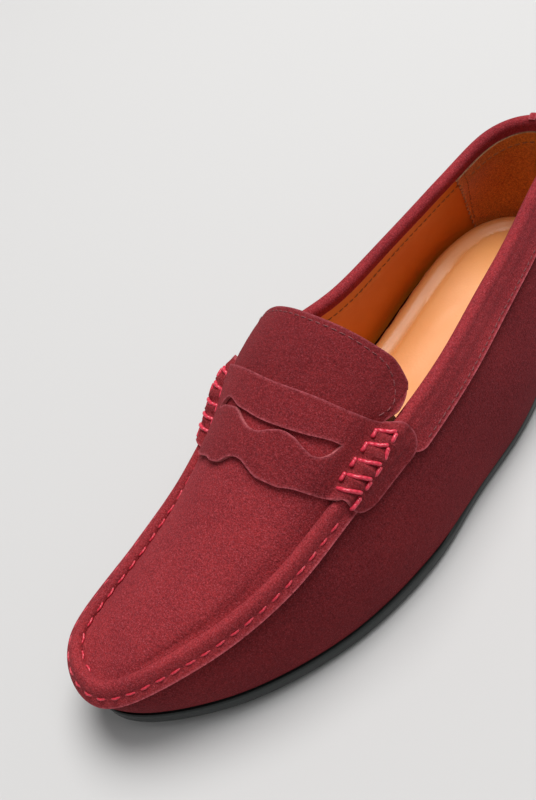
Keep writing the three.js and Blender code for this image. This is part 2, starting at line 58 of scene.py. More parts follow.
def makeCamera():
    a, e, r = [math.radians(camera[k]) for k in ("azimuth", "elevation", "roll")]
    back = Vector((math.sin(a) * math.cos(e), -math.cos(a) * math.cos(e), math.sin(e)))
    right = Vector((math.cos(a), math.sin(a), 0))
    up = back.cross(right)
    rolledRight = right * math.cos(r) + up * math.sin(r)
    rolledUp = up * math.cos(r) - right * math.sin(r)
    data = bpy.data.cameras.new("shoeCamera")
    data.lens = camera["lens"]
    data.sensor_width = camera["sensor"]
    data.clip_start = 0.01
    data.clip_end = 20
    data.dof.use_dof = False
    held = bpy.data.objects.new("shoeCamera", data)
    turn = Matrix((rolledRight, rolledUp, back)).transposed().to_4x4()
    place = (Vector(camera["target"]) + back * camera["distance"]) * mm
    held.matrix_world = Matrix.Translation(place) @ turn
    bpy.context.scene.collection.objects.link(held)
    bpy.context.scene.camera = held


makeCamera()
print("camera placed")

# the last: the shape that every upper piece follows
# Stations run from the back seam along the outer side, round the toe and back along
# the inner side. Columns 0 to 48 do the same, with 24 at the toe and 12 and 36 at the
# rear of the saddle.
last = {
    "heelY": 142, "centreX": 2.3, "soleHeel": 14, "soleFore": 7, "toeSpring": 6,
    "slope": (42, 112), "springFrom": 205, "springOver": 79,
    "soleLip": 2, "waistLip": 0.4, "waistIn": (35, 80), "waistOut": (130, 178), "gap": 0.3,
    "suede": 1.4, "apronSuede": 1.2, "strapSuede": 1.3, "lining": 1,
    "ridgeRadius": 1.7, "ridgeInset": 4.2, "valleyDepth": 4.6, "valleyWidth": 4, "valleyEnd": (262, 279),
    "bulge": 3, "highBulge": 3.9, "lowReach": 0.45, "highReach": 0.25,
    "outerSaddle": 4.5, "innerSaddle": 12, "saddleRear": 12, "saddleBow": 1.4, "bowGrowth": 2.4,
}
featherLine = np.array([
    (0, 0.5), (9, 23), (37.5, 36), (94, 47.6), (136, 49.8), (175, 52), (217, 44), (258, 23.5),
    (284, -6), (272.5, -34.5), (234.5, -45), (192, -47), (150, -38.5), (105, -31), (38, -32), (9, -21)])
topLine = np.array([
    (3.5, 1, 73.5), (12.5, 17, 73), (41.5, 22.5, 70.5), (94, 30, 64),
    (139, 36, 63), (177, 35.5, 58.5), (220, 30, 47.5), (255, 16, 38.5),
    (281, -5.5, 31), (273.5, -27.5, 31), (235, -30, 35.5), (194, -31, 47.5),
    (161, -37.5, 58.5), (110, -26.5, 58), (44.5, -20.5, 64.5), (14, -14, 70.5)])
crownLine = np.array([(278, 0), (250, 6), (215, 14.5), (175, 26), (130, 33.5), (100, 35)])
stations = len(featherLine)
coverDepth = last["suede"] / 2 + last["gap"] + last["apronSuede"] / 2


def unit(a):
    return a / np.maximum(np.linalg.norm(a, axis=-1, keepdims=True), 1e-9)


def smooth(x, a, b):
    f = np.clip((x - a) / (b - a), 0, 1)
    return f * f * (3 - 2 * f)


def spline(points, u, slope=False):
    t = np.mod(np.asarray(u, float), 1) * len(points)
    n = np.floor(t).astype(int)
    f = (t - n)[..., None]
    a, b, c, d = [points[(n + k) % len(points)] for k in (-1, 0, 1, 2)]
    second, third = 2 * a - 5 * b + 4 * c - d, 3 * b - a - 3 * c + d
    if slope:
        return 0.5 * ((c - a) + 2 * second * f + 3 * third * f ** 2)
    return 0.5 * (2 * b + (c - a) * f + second * f ** 2 + third * f ** 3)


def place(x, s, z):
    return np.stack(np.broadcast_arrays(x - last["centreX"], last["heelY"] - s, z), -1).astype(float)


def fromHeel(p):
    return last["heelY"] - p[..., 1]


def toeLift(s):
    return last["toeSpring"] * np.clip((s - last["springFrom"]) / last["springOver"], 0, 1) ** 1.8


def soleTop(s):
    return last["soleHeel"] + (last["soleFore"] - last["soleHeel"]) * smooth(s, *last["slope"]) + toeLift(s)


def lip(s):
    waist = smooth(s, *last["waistIn"]) * (1 - smooth(s, *last["waistOut"]))
    return last["soleLip"] + (last["waistLip"] - last["soleLip"]) * waist


def crown(s):
    knots, rises = crownLine[::-1, 0], crownLine[::-1, 1]
    slopes = np.gradient(rises, knots)
    slopes[1:-1] = (rises[2:] - rises[:-2]) / (knots[2:] - knots[:-2])
    at = np.clip(s, knots[0], knots[-1])
    n = np.clip(np.searchsorted(knots, at) - 1, 0, len(knots) - 2)
    step = knots[n + 1] - knots[n]
    rise = rises[n + 1] - rises[n]
    f = (at - knots[n]) / step
    bend = f * (1 - f) * ((1 - f) * (slopes[n] * step - rise) + f * (rise - slopes[n + 1] * step))
    return rises[n] + rise * f + bend


def columnU(column):
    marks = [0, last["outerSaddle"], 8, last["innerSaddle"], stations]
    return np.interp(column, [0, 12, 24, 36, 48], marks) / stations


def feather(u):
    p = spline(featherLine, u)
    return place(p[..., 1], p[..., 0], soleTop(p[..., 0]))


def outward(u):
    d = spline(featherLine, u, slope=True)
    return unit(np.stack([d[..., 0], d[..., 1], 0 * d[..., 0]], -1))


def topPoint(u):
    p = spline(topLine, u)
    return place(p[..., 1], p[..., 0], p[..., 2])


def topSlope(u):
    d = spline(topLine, u, slope=True)
    return unit(np.stack([d[..., 1], -d[..., 0], d[..., 2]], -1))


def wallHandles(u):
    out = outward(u)
    low = feather(u)
    low = low - out * lip(fromHeel(low))[..., None]
    low[..., 2] += last["gap"] + last["suede"] / 2
    high = topPoint(u)
    height = (high - low)[..., 2:3] * np.array([0, 0, 1])
    lowHandle = low + out * last["bulge"] + last["lowReach"] * height
    highHandle = high + out * last["highBulge"] - last["highReach"] * height
    return low, lowHandle, highHandle, high


def wall(u, v):
    a, b, c, d = [h[:, None] for h in wallHandles(u)]
    v = np.broadcast_to(v, (len(u), np.shape(v)[-1]))[..., None]
    return a * (1 - v) ** 3 + 3 * b * v * (1 - v) ** 2 + 3 * c * v * v * (1 - v) + d * v ** 3


def wallOffset(u, v, depth):
    e = 0.002
    across = wall(u + e, v) - wall(u - e, v)
    upward = wall(u, np.asarray(v) + e) - wall(u, np.asarray(v) - e)
    return wall(u, v) + unit(np.cross(upward, across)) * np.asarray(depth)[..., None]


def wallBelow(u, lengths):
    v = np.linspace(1, 0, 161)
    steps = np.linalg.norm(np.diff(wall(u, v), axis=1), axis=2)
    walked = np.concatenate([np.zeros((len(u), 1)), np.cumsum(steps, axis=1)], axis=1)
    lengths = np.broadcast_to(lengths, (len(u), np.shape(lengths)[-1]))
    return np.array([np.interp(n, w, v) for n, w in zip(lengths, walked)])


def rim(u, a, b):
    t = topSlope(u)
    handles = wallHandles(u)
    up = unit(handles[3] - handles[2])
    out = unit(np.cross(up, t))
    up = np.cross(t, out)
    shape = (len(u), np.shape(a)[-1])
    a, b = [np.broadcast_to(x, shape)[..., None] for x in (a, b)]
    return topPoint(u)[:, None] + out[:, None] * a + up[:, None] * b


def chordEnds(chord):
    past = np.maximum(chord - last["saddleRear"], 0)
    near = np.minimum(chord, last["saddleRear"])
    return columnU(24 - near) - 0.225 * past / stations, columnU(24 + near) + 0.17 * past / stations


def bowed(row, t):
    bow = last["saddleBow"] * (row / last["saddleRear"]) ** last["bowGrowth"]
    return row - bow * (1 - np.abs(t) ** 2.2)


def innerRim(u):
    d = spline(topLine, u, slope=True)
    out = unit(np.stack([d[..., 0], d[..., 1], 0 * d[..., 0]], -1))
    return topPoint(u) - out * last["ridgeInset"]


def roof(chord, t):
    chord, t = np.broadcast_arrays(chord, t)
    outer, inner = [innerRim(u) for u in chordEnds(chord)]
    half = np.linalg.norm(outer - inner, axis=-1) / 2
    across = np.abs(t) * half / (half + last["ridgeInset"])
    p = inner + (outer - inner) * ((1 + t) / 2)[..., None]
    rise = crown(fromHeel(p))
    fromRidge = (1 - across) * (half + last["ridgeInset"]) / last["valleyWidth"]
    fade = np.minimum((rise + 3) / 12, 1) * (1 - smooth(fromHeel(p), *last["valleyEnd"]))
    valley = last["valleyDepth"] * fade * np.exp(-fromRidge ** 2)
    p[..., 2] += rise * (1 - across ** 2.2) - valley
    return p


def roofOffset(chord, t, depth):
    chord, t, depth = np.broadcast_arrays(chord, t, depth)
    e = 0.02
    safe = np.maximum(chord, 0.05)
    normal = unit(np.cross(roof(safe, t + e) - roof(safe, t - e), roof(safe + e, t) - roof(safe - e, t)))
    normal = normal * np.where(normal[..., 2:3] < 0, -1, 1)
    normal = np.where((chord < 0.05)[..., None], np.array([0, 0, 1.0]), normal)
    return roof(chord, t) + normal * depth[..., None]


def ridgeSide(u, lift, belows, mores, angles):
    depths = coverDepth + np.broadcast_to(mores, (len(u), np.shape(belows)[-1]))
    face = wallOffset(u, wallBelow(u, belows), depths)
    radius = last["ridgeRadius"] + lift
    turn = np.radians(angles)
    return np.concatenate([face, rim(u, radius * np.cos(turn), radius * np.sin(turn))], axis=1)


def coverGrid(rows, lift, belows, mores, angles, parts):
    outer, inner = chordEnds(rows)
    top = roofOffset(bowed(rows[:, None], parts), parts, lift)
    sides = [ridgeSide(u, lift, belows, mores, angles) for u in (outer, inner)]
    return np.concatenate([sides[0], top, sides[1][:, ::-1]], axis=1)


# Points below the crest of the seam, one for each place u: length down the wall, then depth.
def belowCrest(u, length, depth):
    u, length, depth = np.broadcast_arrays(u, length, depth)
    flat = u.ravel()
    height = wallBelow(flat, length.ravel()[:, None])
    return wallOffset(flat, height, depth.ravel()[:, None])[:, 0].reshape(u.shape + (3,))


# mesh making
# Cross sections through a few knots become smooth rows of many points.
def refine(grid, count):
    gaps = np.maximum(np.linalg.norm(np.diff(grid, axis=1), axis=2, keepdims=True), 1e-6)
    slopes = np.diff(grid, axis=1) / gaps
    before, after = gaps[:, :-1], gaps[:, 1:]
    inner = (slopes[:, :-1] * after + slopes[:, 1:] * before) / (before + after)
    tangents = np.concatenate([slopes[:, :1], inner, slopes[:, -1:]], axis=1)
    f = (np.arange(count) / count)[None, None, :, None]
    a, b = grid[:, :-1, None], grid[:, 1:, None]
    m = (tangents[:, :-1] * gaps)[:, :, None]
    n = (tangents[:, 1:] * gaps)[:, :, None]
    curve = a * (2 * f ** 3 - 3 * f ** 2 + 1) + m * (f ** 3 - 2 * f ** 2 + f)
    curve = curve + b * (3 * f ** 2 - 2 * f ** 3) + n * (f ** 3 - f ** 2)
    smoothRows = curve.reshape(len(grid), -1, 3)
    return np.concatenate([smoothRows, grid[:, -1:]], axis=1)


# A grid whose first row is folded on itself has row 1, turned round, before that row.
def gridNormals(grid, folded=False):
    before = grid[1:2, ::-1] if folded else grid[:1]
    tall = np.concatenate([before, grid, grid[-1:]])
    wide = np.concatenate([grid[:, :1], grid, grid[:, -1:]], axis=1)
    normals = np.cross(tall[2:] - tall[:-2], wide[:, 2:] - wide[:, :-2])
    length = np.linalg.norm(normals, axis=-1)
    normals = unit(normals)
    for i, j in zip(*np.nonzero(length < 1e-9)):
        normals[i, j] = normals[i, j - 1] if j else normals[i, 1]
    return normals


def gridQuads(rows, cols, start=0):
    n = start + np.arange(rows * cols).reshape(rows, cols)
    return np.stack([n[:-1, :-1], n[1:, :-1], n[1:, 1:], n[:-1, 1:]], axis=-1).reshape(-1, 4)


# The upper is never quite regular, so all of its pieces share one slow wave.
easeOfLeather = {"height": 0.28, "long": 0.052, "short": 0.11}


def eased(points):
    x, y, z = points[:, 0], points[:, 1], points[:, 2]
    low, high = easeOfLeather["long"], easeOfLeather["short"]
    wave = np.stack([
        np.sin(low * y + 1.3) * np.cos(high * z + 0.4) + 0.5 * np.sin(high * y + 0.09 * z),
        0.4 * np.sin(low * x + 0.2 * z),
        0.5 * np.sin(high * y + 0.06 * x + 2.0) + 0.3 * np.sin(0.17 * x + low * y),
    ], axis=-1)
    fade = smooth(z, 16, 30)[:, None]
    return points + easeOfLeather["height"] * wave * fade


def makePiece(name, points, faces, kinds, materials, angle=38, ease=True):
    points = eased(points) if ease else points
    mesh = bpy.data.meshes.new(name)
    mesh.from_pydata((points * mm).tolist(), [], [list(map(int, f)) for f in faces])
    for material in materials:
        mesh.materials.append(material)
    mesh.polygons.foreach_set("material_index", np.asarray(kinds, dtype=np.int32))
    held = bmesh.new()
    held.from_mesh(mesh)
    if held.calc_volume(signed=True) < 0:
        bmesh.ops.reverse_faces(held, faces=held.faces[:])
    held.to_mesh(mesh)
    held.free()
    mesh.shade_smooth()
    mesh.set_sharp_from_angle(angle=math.radians(angle))
    piece = bpy.data.objects.new(name, mesh)
    bpy.context.scene.collection.objects.link(piece)
    return piece


# Points that meet become one, and faces that close up are dropped.
def welded(points, faces, kinds=None):
    keys = np.round(points / 0.002).astype(np.int64)
    _, first, index = np.unique(keys, axis=0, return_index=True, return_inverse=True)
    index = index.ravel()
    kept, keptKinds = [], []
    for n, face in enumerate(faces):
        loop = []
        for k in index[np.asarray(face)]:
            if k not in loop:
                loop.append(int(k))
        if len(loop) > 2:
            kept.append(loop)
            keptKinds.append(0 if kinds is None else kinds[n])
    return points[first], kept, keptKinds, first


# Leather of some thickness about its middle surface: kind 0 is its face, 1 its back, 2 its cut edge.
def leather(name, points, normals, quads, thickness, materials, angle=38, ease=True):
    points, faces, _, first = welded(points, quads)
    normals = normals[first]
    half = (thickness if np.ndim(thickness) == 0 else thickness[first][:, None]) / 2
    count = len(points)
    used = {}
    for face in faces:
        for a, b in zip(face, face[1:] + face[:1]):
            used[(a, b)] = used.get((a, b), 0) + 1
    rims = [(a, b) for a, b in used if (b, a) not in used]
    solid = [list(f) for f in faces] + [[n + count for n in reversed(f)] for f in faces]
    solid += [[b, a, a + count, b + count] for a, b in rims]
    kinds = [0] * len(faces) + [1] * len(faces) + [2] * len(rims)
    both = np.concatenate([points + normals * half, points - normals * half])
    piece = makePiece(name, both, solid, kinds, materials, angle, ease)
    markEdge(piece, points, rims)
    return piece


# The nap is paler and longer right beside a cut edge, partly from its loose fibres and partly as a painted
# highlight along the edge, and this mask says where.
def markEdge(piece, points, rims):
    rim = points[np.unique(np.array(rims).ravel())]
    near = KDTree(len(rim))
    for n, p in enumerate(rim):
        near.insert(p, n)
    near.balance()
    away = np.array([near.find(p)[2] for p in points])
    mask = np.exp(-(away / 0.5) ** 2)
    layer = piece.data.attributes.new("cutNear", "FLOAT", "POINT")
    layer.data.foreach_set("value", np.concatenate([mask, mask]).astype(np.float32))


def leatherGrid(name, grid, thickness, materials, folded=False, angle=38, ease=True):
    normals = gridNormals(grid, folded)
    quads = gridQuads(*grid.shape[:2])
    points, normals = grid.reshape(-1, 3), normals.reshape(-1, 3)
    return leather(name, points, normals, quads, thickness, materials, angle, ease)


def finishPiece(piece, body, slot, *nodes):
    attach(piece, body)
    if nodes:
        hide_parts(*nodes)
    print("made", piece.name)


# finishes
def newGroup(name, inputs, outputs):
    group = bpy.data.node_groups.new(name, "ShaderNodeTree")
    for label, kind, value in inputs:
        socket = group.interface.new_socket(label, in_out="INPUT", socket_type=kind)
        socket.default_value = value
    for label, kind in outputs:
        group.interface.new_socket(label, in_out="OUTPUT", socket_type=kind)
    return group, group.nodes.new("NodeGroupInput"), group.nodes.new("NodeGroupOutput")


def noiseNode(tree, source, scale, detail, roughness=0.55):
    node = tree.nodes.new("ShaderNodeTexNoise")
    node.inputs["Scale"].default_value = scale
    node.inputs["Detail"].default_value = detail
    node.inputs["Roughness"].default_value = roughness
    tree.links.new(source, node.inputs["Vector"])
    return node


def rangeNode(tree, source, low, high, toLow=0.0, toHigh=1.0):
    node = tree.nodes.new("ShaderNodeMapRange")
    for label, value in (("From Min", low), ("From Max", high), ("To Min", toLow), ("To Max", toHigh)):
        node.inputs[label].default_value = value
    tree.links.new(source, node.inputs["Value"])
    return node.outputs["Result"]


def mixNode(tree, factor, first, second):
    node = tree.nodes.new("ShaderNodeMix")
    node.data_type = "RGBA"
    tree.links.new(factor, node.inputs[0])
    tree.links.new(first, node.inputs[6])
    tree.links.new(second, node.inputs[7])
    return node.outputs[2]


def mathNode(tree, operation, *values):
    node = tree.nodes.new("ShaderNodeMath")
    node.operation = operation
    for socket, value in zip(node.inputs, values):
        if isinstance(value, (int, float)):
            socket.default_value = value
        else:
            tree.links.new(value, socket)
    return node.outputs[0]


def bumpNode(tree, height, strength, distance):
    node = tree.nodes.new("ShaderNodeBump")
    node.inputs["Strength"].default_value = strength
    node.inputs["Distance"].default_value = distance
    tree.links.new(height, node.inputs["Height"])
    return node.outputs["Normal"]


# Short brushed nap: broad strokes where the pile lies over, mottling, and single fibres.
def makeNap():
    color, value = "NodeSocketColor", "NodeSocketFloat"
    group, start, end = newGroup("nap", [
        ("Raised", color, (0.3, 0.03, 0.04, 1)), ("Brushed", color, (0.2, 0.02, 0.03, 1)),
        ("Fibre", color, (0.4, 0.08, 0.1, 1)), ("Fineness", value, 1.0), ("Fluff", value, 0.5),
        ("Edge", value, 0.6),
    ], [("Color", color), ("Roughness", value), ("Height", value)])
    link = group.links.new
    place = group.nodes.new("ShaderNodeTexCoord").outputs["Object"]
    scaled = group.nodes.new("ShaderNodeVectorMath")
    scaled.operation = "SCALE"
    link(place, scaled.inputs[0])
    link(start.outputs["Fineness"], scaled.inputs["Scale"])
    place = scaled.outputs[0]
    strokes = noiseNode(group, place, 32, 3, 0.5).outputs["Fac"]
    mottle = noiseNode(group, place, 700, 4, 0.62).outputs["Fac"]
    fibre = noiseNode(group, place, 2600, 3, 0.75).outputs["Fac"]
    speck = noiseNode(group, place, 1500, 2, 0.8).outputs["Fac"]
    lying = rangeNode(group, mathNode(group, "ADD", mathNode(group, "MULTIPLY", strokes, 0.5),
                                      mathNode(group, "MULTIPLY", mottle, 0.6)), 0.4, 0.7)
    base = mixNode(group, lying, start.outputs["Brushed"], start.outputs["Raised"])
    tips = mathNode(group, "MULTIPLY", rangeNode(group, fibre, 0.5, 0.7), start.outputs["Fluff"])
    # The speckle that dents the bump also darkens its low spots and lightens its high ones: random tone with
    # painted shade and highlight.
    pits = group.nodes.new("ShaderNodeMix")
    pits.data_type = "RGBA"
    pits.blend_type = "MULTIPLY"
    pits.inputs[0].default_value = 1.0
    speckShadeAndHighlight = rangeNode(group, speck, 0.3, 0.66, 0.6, 1.2)
    link(mixNode(group, tips, base, start.outputs["Fibre"]), pits.inputs[6])
    link(speckShadeAndHighlight, pits.inputs[7])
    # Beside a cut edge the nap turns towards the fibre colour: loose fibres, and a painted highlight along
    # the edge.
    beside = group.nodes.new("ShaderNodeAttribute")
    beside.attribute_name = "cutNear"
    edgeFibreAndHighlight = mathNode(group, "MULTIPLY", beside.outputs["Fac"], start.outputs["Edge"])
    edgeFibreAndHighlight = mathNode(group, "MULTIPLY", edgeFibreAndHighlight, rangeNode(group, mottle, 0.35, 0.62, 0.2, 1.0))
    link(mixNode(group, edgeFibreAndHighlight, pits.outputs[2], start.outputs["Fibre"]), end.inputs["Color"])
    link(rangeNode(group, mottle, 0.3, 0.7, 0.86, 0.98), end.inputs["Roughness"])
    clumps = mathNode(group, "MULTIPLY", mottle, 0.45)
    height = mathNode(group, "ADD", clumps, mathNode(group, "MULTIPLY", speck, 0.8))
    link(height, end.inputs["Height"])
    return group


# Smooth leather grain: small pebbles, fine pores and slow shade changes from handling.
def makeGrain():
    color, value = "NodeSocketColor", "NodeSocketFloat"
    group, start, end = newGroup("grain", [
        ("Light", color, (0.7, 0.35, 0.14, 1)), ("Dark", color, (0.5, 0.2, 0.06, 1)),
        ("Gloss", value, 0.45), ("Wear", value, 0.5),
    ], [("Color", color), ("Roughness", value), ("Height", value)])
    link = group.links.new
    place = group.nodes.new("ShaderNodeTexCoord").outputs["Object"]
    slow = noiseNode(group, place, 24, 4, 0.6).outputs["Fac"]
    pores = noiseNode(group, place, 1500, 2, 0.5).outputs["Fac"]
    pebbles = group.nodes.new("ShaderNodeTexVoronoi")
    pebbles.feature = "F1"
    pebbles.inputs["Scale"].default_value = 900
    link(place, pebbles.inputs["Vector"])
    shade = mathNode(group, "MULTIPLY", rangeNode(group, slow, 0.35, 0.68), start.outputs["Wear"])
    shade = mathNode(group, "ADD", shade, mathNode(group, "MULTIPLY", pores, 0.25))
    link(mixNode(group, shade, start.outputs["Light"], start.outputs["Dark"]), end.inputs["Color"])
    rough = mathNode(group, "ADD", start.outputs["Gloss"], rangeNode(group, slow, 0.3, 0.7, -0.06, 0.08))
    link(rough, end.inputs["Roughness"])
    height = mathNode(group, "ADD", mathNode(group, "MULTIPLY", pebbles.outputs["Distance"], 0.7),
                      mathNode(group, "MULTIPLY", pores, 0.3))
    link(height, end.inputs["Height"])
    return group


# Moulded or pressed stock: a fine even tooth with slow patches.
def makeTooth():
    color, value = "NodeSocketColor", "NodeSocketFloat"
    group, start, end = newGroup("tooth", [
        ("Light", color, (0.02, 0.025, 0.025, 1)), ("Dark", color, (0.01, 0.012, 0.012, 1)),
        ("Grit", value, 700.0), ("Gloss", value, 0.5),
    ], [("Color", color), ("Roughness", value), ("Height", value)])
    link = group.links.new
    place = group.nodes.new("ShaderNodeTexCoord").outputs["Object"]
    fine = group.nodes.new("ShaderNodeTexNoise")
    fine.inputs["Detail"].default_value = 3
    link(place, fine.inputs["Vector"])
    link(start.outputs["Grit"], fine.inputs["Scale"])
    slow = noiseNode(group, place, 40, 3, 0.5).outputs["Fac"]
    patches = rangeNode(group, mathNode(group, "ADD", mathNode(group, "MULTIPLY", slow, 0.6),
                                        mathNode(group, "MULTIPLY", fine.outputs["Fac"], 0.4)), 0.4, 0.62)
    shade = mixNode(group, patches, start.outputs["Dark"], start.outputs["Light"])
    link(shade, end.inputs["Color"])
    rough = mathNode(group, "ADD", start.outputs["Gloss"], rangeNode(group, slow, 0.3, 0.7, -0.07, 0.07))
    link(rough, end.inputs["Roughness"])
    link(fine.outputs["Fac"], end.inputs["Height"])
    return group


napGroup, grainGroup, toothGroup = makeNap(), makeGrain(), makeTooth()


def finish(name, group, settings, strength=0.5, distance=0.0003, **shader):
    material = bpy.data.materials.new(name)
    material.use_nodes = True
    tree = material.node_tree
    link = tree.links.new
    surface = tree.nodes["Principled BSDF"]
    effect = tree.nodes.new("ShaderNodeGroup")
    effect.node_tree = group
    for label, amount in settings.items():
        effect.inputs[label].default_value = (*amount, 1) if isinstance(amount, tuple) else amount
    link(effect.outputs["Color"], surface.inputs["Base Color"])
    link(effect.outputs["Roughness"], surface.inputs["Roughness"])
    link(bumpNode(tree, effect.outputs["Height"], strength, distance), surface.inputs["Normal"])
    for label, amount in shader.items():
        surface.inputs[label.replace("_", " ")].default_value = amount
    return material


# Waxed thread: the lay of its plies follows the twist that each stitch carries.
def threadFinish(name, light, grooveShade, roughness, sheen):
    material = bpy.data.materials.new(name)
    material.use_nodes = True
    tree = material.node_tree
    link = tree.links.new
    surface = tree.nodes["Principled BSDF"]
    twist = tree.nodes.new("ShaderNodeAttribute")
    twist.attribute_name = "twist"
    place = tree.nodes.new("ShaderNodeTexCoord").outputs["Object"]
    plies = mathNode(tree, "SINE", mathNode(tree, "MULTIPLY", twist.outputs["Fac"], 2 * math.pi))
    fuzz = noiseNode(tree, place, 1400, 2).outputs["Fac"]
    lay = mathNode(tree, "MULTIPLY", plies, 0.5)
    height = mathNode(tree, "ADD", lay, mathNode(tree, "MULTIPLY", fuzz, 0.5))
    # The grooves between the plies take the darker colour: painted shade along the twist.
    paints = []
    for shade in (grooveShade, light):
        node = tree.nodes.new("ShaderNodeRGB")
        node.outputs[0].default_value = (*shade, 1)
        paints.append(node.outputs[0])
    color = mixNode(tree, rangeNode(tree, height, -0.7, 0.5), *paints)
    link(color, surface.inputs["Base Color"])
    link(bumpNode(tree, height, 0.35, 0.0002), surface.inputs["Normal"])
    surface.inputs["Roughness"].default_value = roughness
    surface.inputs["Sheen Weight"].default_value = sheen
    surface.inputs["Specular IOR Level"].default_value = 0.5
    return material


suedeSheen = {"Sheen_Weight": 0.09, "Sheen_Roughness": 0.5, "Sheen_Tint": (0.95, 0.25, 0.3, 1),
              "Specular_IOR_Level": 0.06}


suedeColors = {"Raised": (0.35, 0.032, 0.037), "Brushed": (0.215, 0.019, 0.025), "Fibre": (0.6, 0.14, 0.17)}


# Each piece can take a darker copy of the suede, painted shade that stands in for the light that piece gets.
def suedeWithPaintedShade(name, shadeFactor):
    settings = {label: tuple(shadeFactor * n for n in color) for label, color in suedeColors.items()}
    settings.update({"Fineness": 1.0, "Fluff": 0.55, "Edge": 0.85})
    return finish(name, napGroup, settings, 0.8, 0.0006, **suedeSheen)


suede = suedeWithPaintedShade("burgundySuede", 1.0)
fleshSide = finish("suedeFleshSide", napGroup, {
    "Raised": (0.2, 0.022, 0.034), "Brushed": (0.13, 0.015, 0.024),
    "Fibre": (0.3, 0.06, 0.08), "Fineness": 0.8, "Fluff": 0.5}, 0.6, 0.0005, **suedeSheen)
cutEdge = finish("suedeCutEdge", napGroup, {
    "Raised": (0.42, 0.07, 0.08), "Brushed": (0.28, 0.034, 0.042),
    "Fibre": (0.6, 0.2, 0.21), "Fineness": 1.3, "Fluff": 0.7}, 0.8, 0.0006, **suedeSheen)
tanLeather = finish("tanLining", grainGroup, {
    "Light": (0.74, 0.21, 0.009), "Dark": (0.62, 0.145, 0.006), "Gloss": 0.46, "Wear": 0.55},
    0.25, 0.00015, Coat_Weight=0.08, Coat_Roughness=0.4)
sockLeather = finish("sockLeather", grainGroup, {
    "Light": (0.8, 0.365, 0.12), "Dark": (0.72, 0.275, 0.08), "Gloss": 0.4, "Wear": 0.5},
    0.3, 0.00014, Coat_Weight=0.1, Coat_Roughness=0.35)
tanEdge = finish("tanCutEdge", napGroup, {
    "Raised": (0.6, 0.3, 0.12), "Brushed": (0.4, 0.17, 0.06),
    "Fibre": (0.75, 0.5, 0.3), "Fineness": 1.3, "Fluff": 0.5}, 0.6, 0.0004)
heelSuede = finish("heelGripSuede", napGroup, {
    "Raised": (0.68, 0.2, 0.024), "Brushed": (0.5, 0.12, 0.014),
    "Fibre": (0.75, 0.32, 0.07), "Fineness": 1.0, "Fluff": 0.45}, 0.5, 0.0004,
    Sheen_Weight=0.3, Sheen_Roughness=0.4, Specular_IOR_Level=0.15)
rubber = finish("soleRubber", toothGroup, {
    "Light": (0.016, 0.022, 0.021), "Dark": (0.008, 0.0115, 0.011), "Grit": 1100.0, "Gloss": 0.52},
    0.3, 0.0002, Specular_IOR_Level=0.45)
insoleBoard = finish("insoleFibreBoard", toothGroup, {
    "Light": (0.5, 0.37, 0.22), "Dark": (0.36, 0.25, 0.14), "Grit": 500.0, "Gloss": 0.85}, 0.4, 0.0003)
foam = finish("footbedFoam", toothGroup, {
    "Light": (0.78, 0.73, 0.62), "Dark": (0.6, 0.55, 0.45), "Grit": 1600.0, "Gloss": 0.9}, 0.7, 0.0004)
cork = finish("fillerCork", toothGroup, {
    "Light": (0.42, 0.24, 0.1), "Dark": (0.2, 0.1, 0.035), "Grit": 380.0, "Gloss": 0.88}, 0.7, 0.0005)
steel = finish("shankSteel", toothGroup, {
    "Light": (0.6, 0.62, 0.64), "Dark": (0.45, 0.47, 0.5), "Grit": 2200.0, "Gloss": 0.34}, 0.15, 0.0001,
    Metallic=1.0)
stiffener = finish("stiffenerSheet", toothGroup, {
    "Light": (0.62, 0.54, 0.42), "Dark": (0.48, 0.4, 0.3), "Grit": 900.0, "Gloss": 0.82}, 0.5, 0.0003)
seamThread = threadFinish("crimsonThread", (0.66, 0.035, 0.065), (0.4, 0.018, 0.035), 0.33, 0.0)
lacingThread = threadFinish("lacingThread", (0.72, 0.045, 0.085), (0.46, 0.022, 0.045), 0.27, 0.0)
suedeThread = threadFinish("burgundyThread", (0.24, 0.045, 0.05), (0.07, 0.008, 0.012), 0.6, 0.0)
tanThread = threadFinish("tanThread", (0.4, 0.13, 0.03), (0.2, 0.06, 0.012), 0.6, 0.0)
suedeSet = [suede, fleshSide, cutEdge]
# The wall, tongue and saddle suede are darkened copies of one suede: painted shade.
wallSet = [suedeWithPaintedShade("burgundySuedeWallPaintedShade", 0.56), fleshSide, cutEdge]
tongueSet = [suedeWithPaintedShade("burgundySuedeTonguePaintedShade", 0.64), fleshSide, cutEdge]
saddleSet = [suedeWithPaintedShade("burgundySuedeSaddlePaintedShade", 0.78), fleshSide, cutEdge]
liningSet = [tanEdge, tanLeather, tanEdge]
print("finishes ready")


# sole
sole = {
    "rings": 192, "padDepth": 0.6, "halfWidth": 80, "sharp": 42,
    "arch": [(76, -3), (76, 2), (105, 2), (122, 1.1), (138, 0.0), (138, -3)],
}


def soleLevel(u, inset, height):
    p = feather(u) - outward(u) * inset
    p[..., 2] = height(fromHeel(p))
    return p


# A low welt stands on the edge of the sole wherever the upper leaves room for it.
def welt(s, open, covered):
    return covered + (open - covered) * smooth(lip(s), 1.3, 1.95)


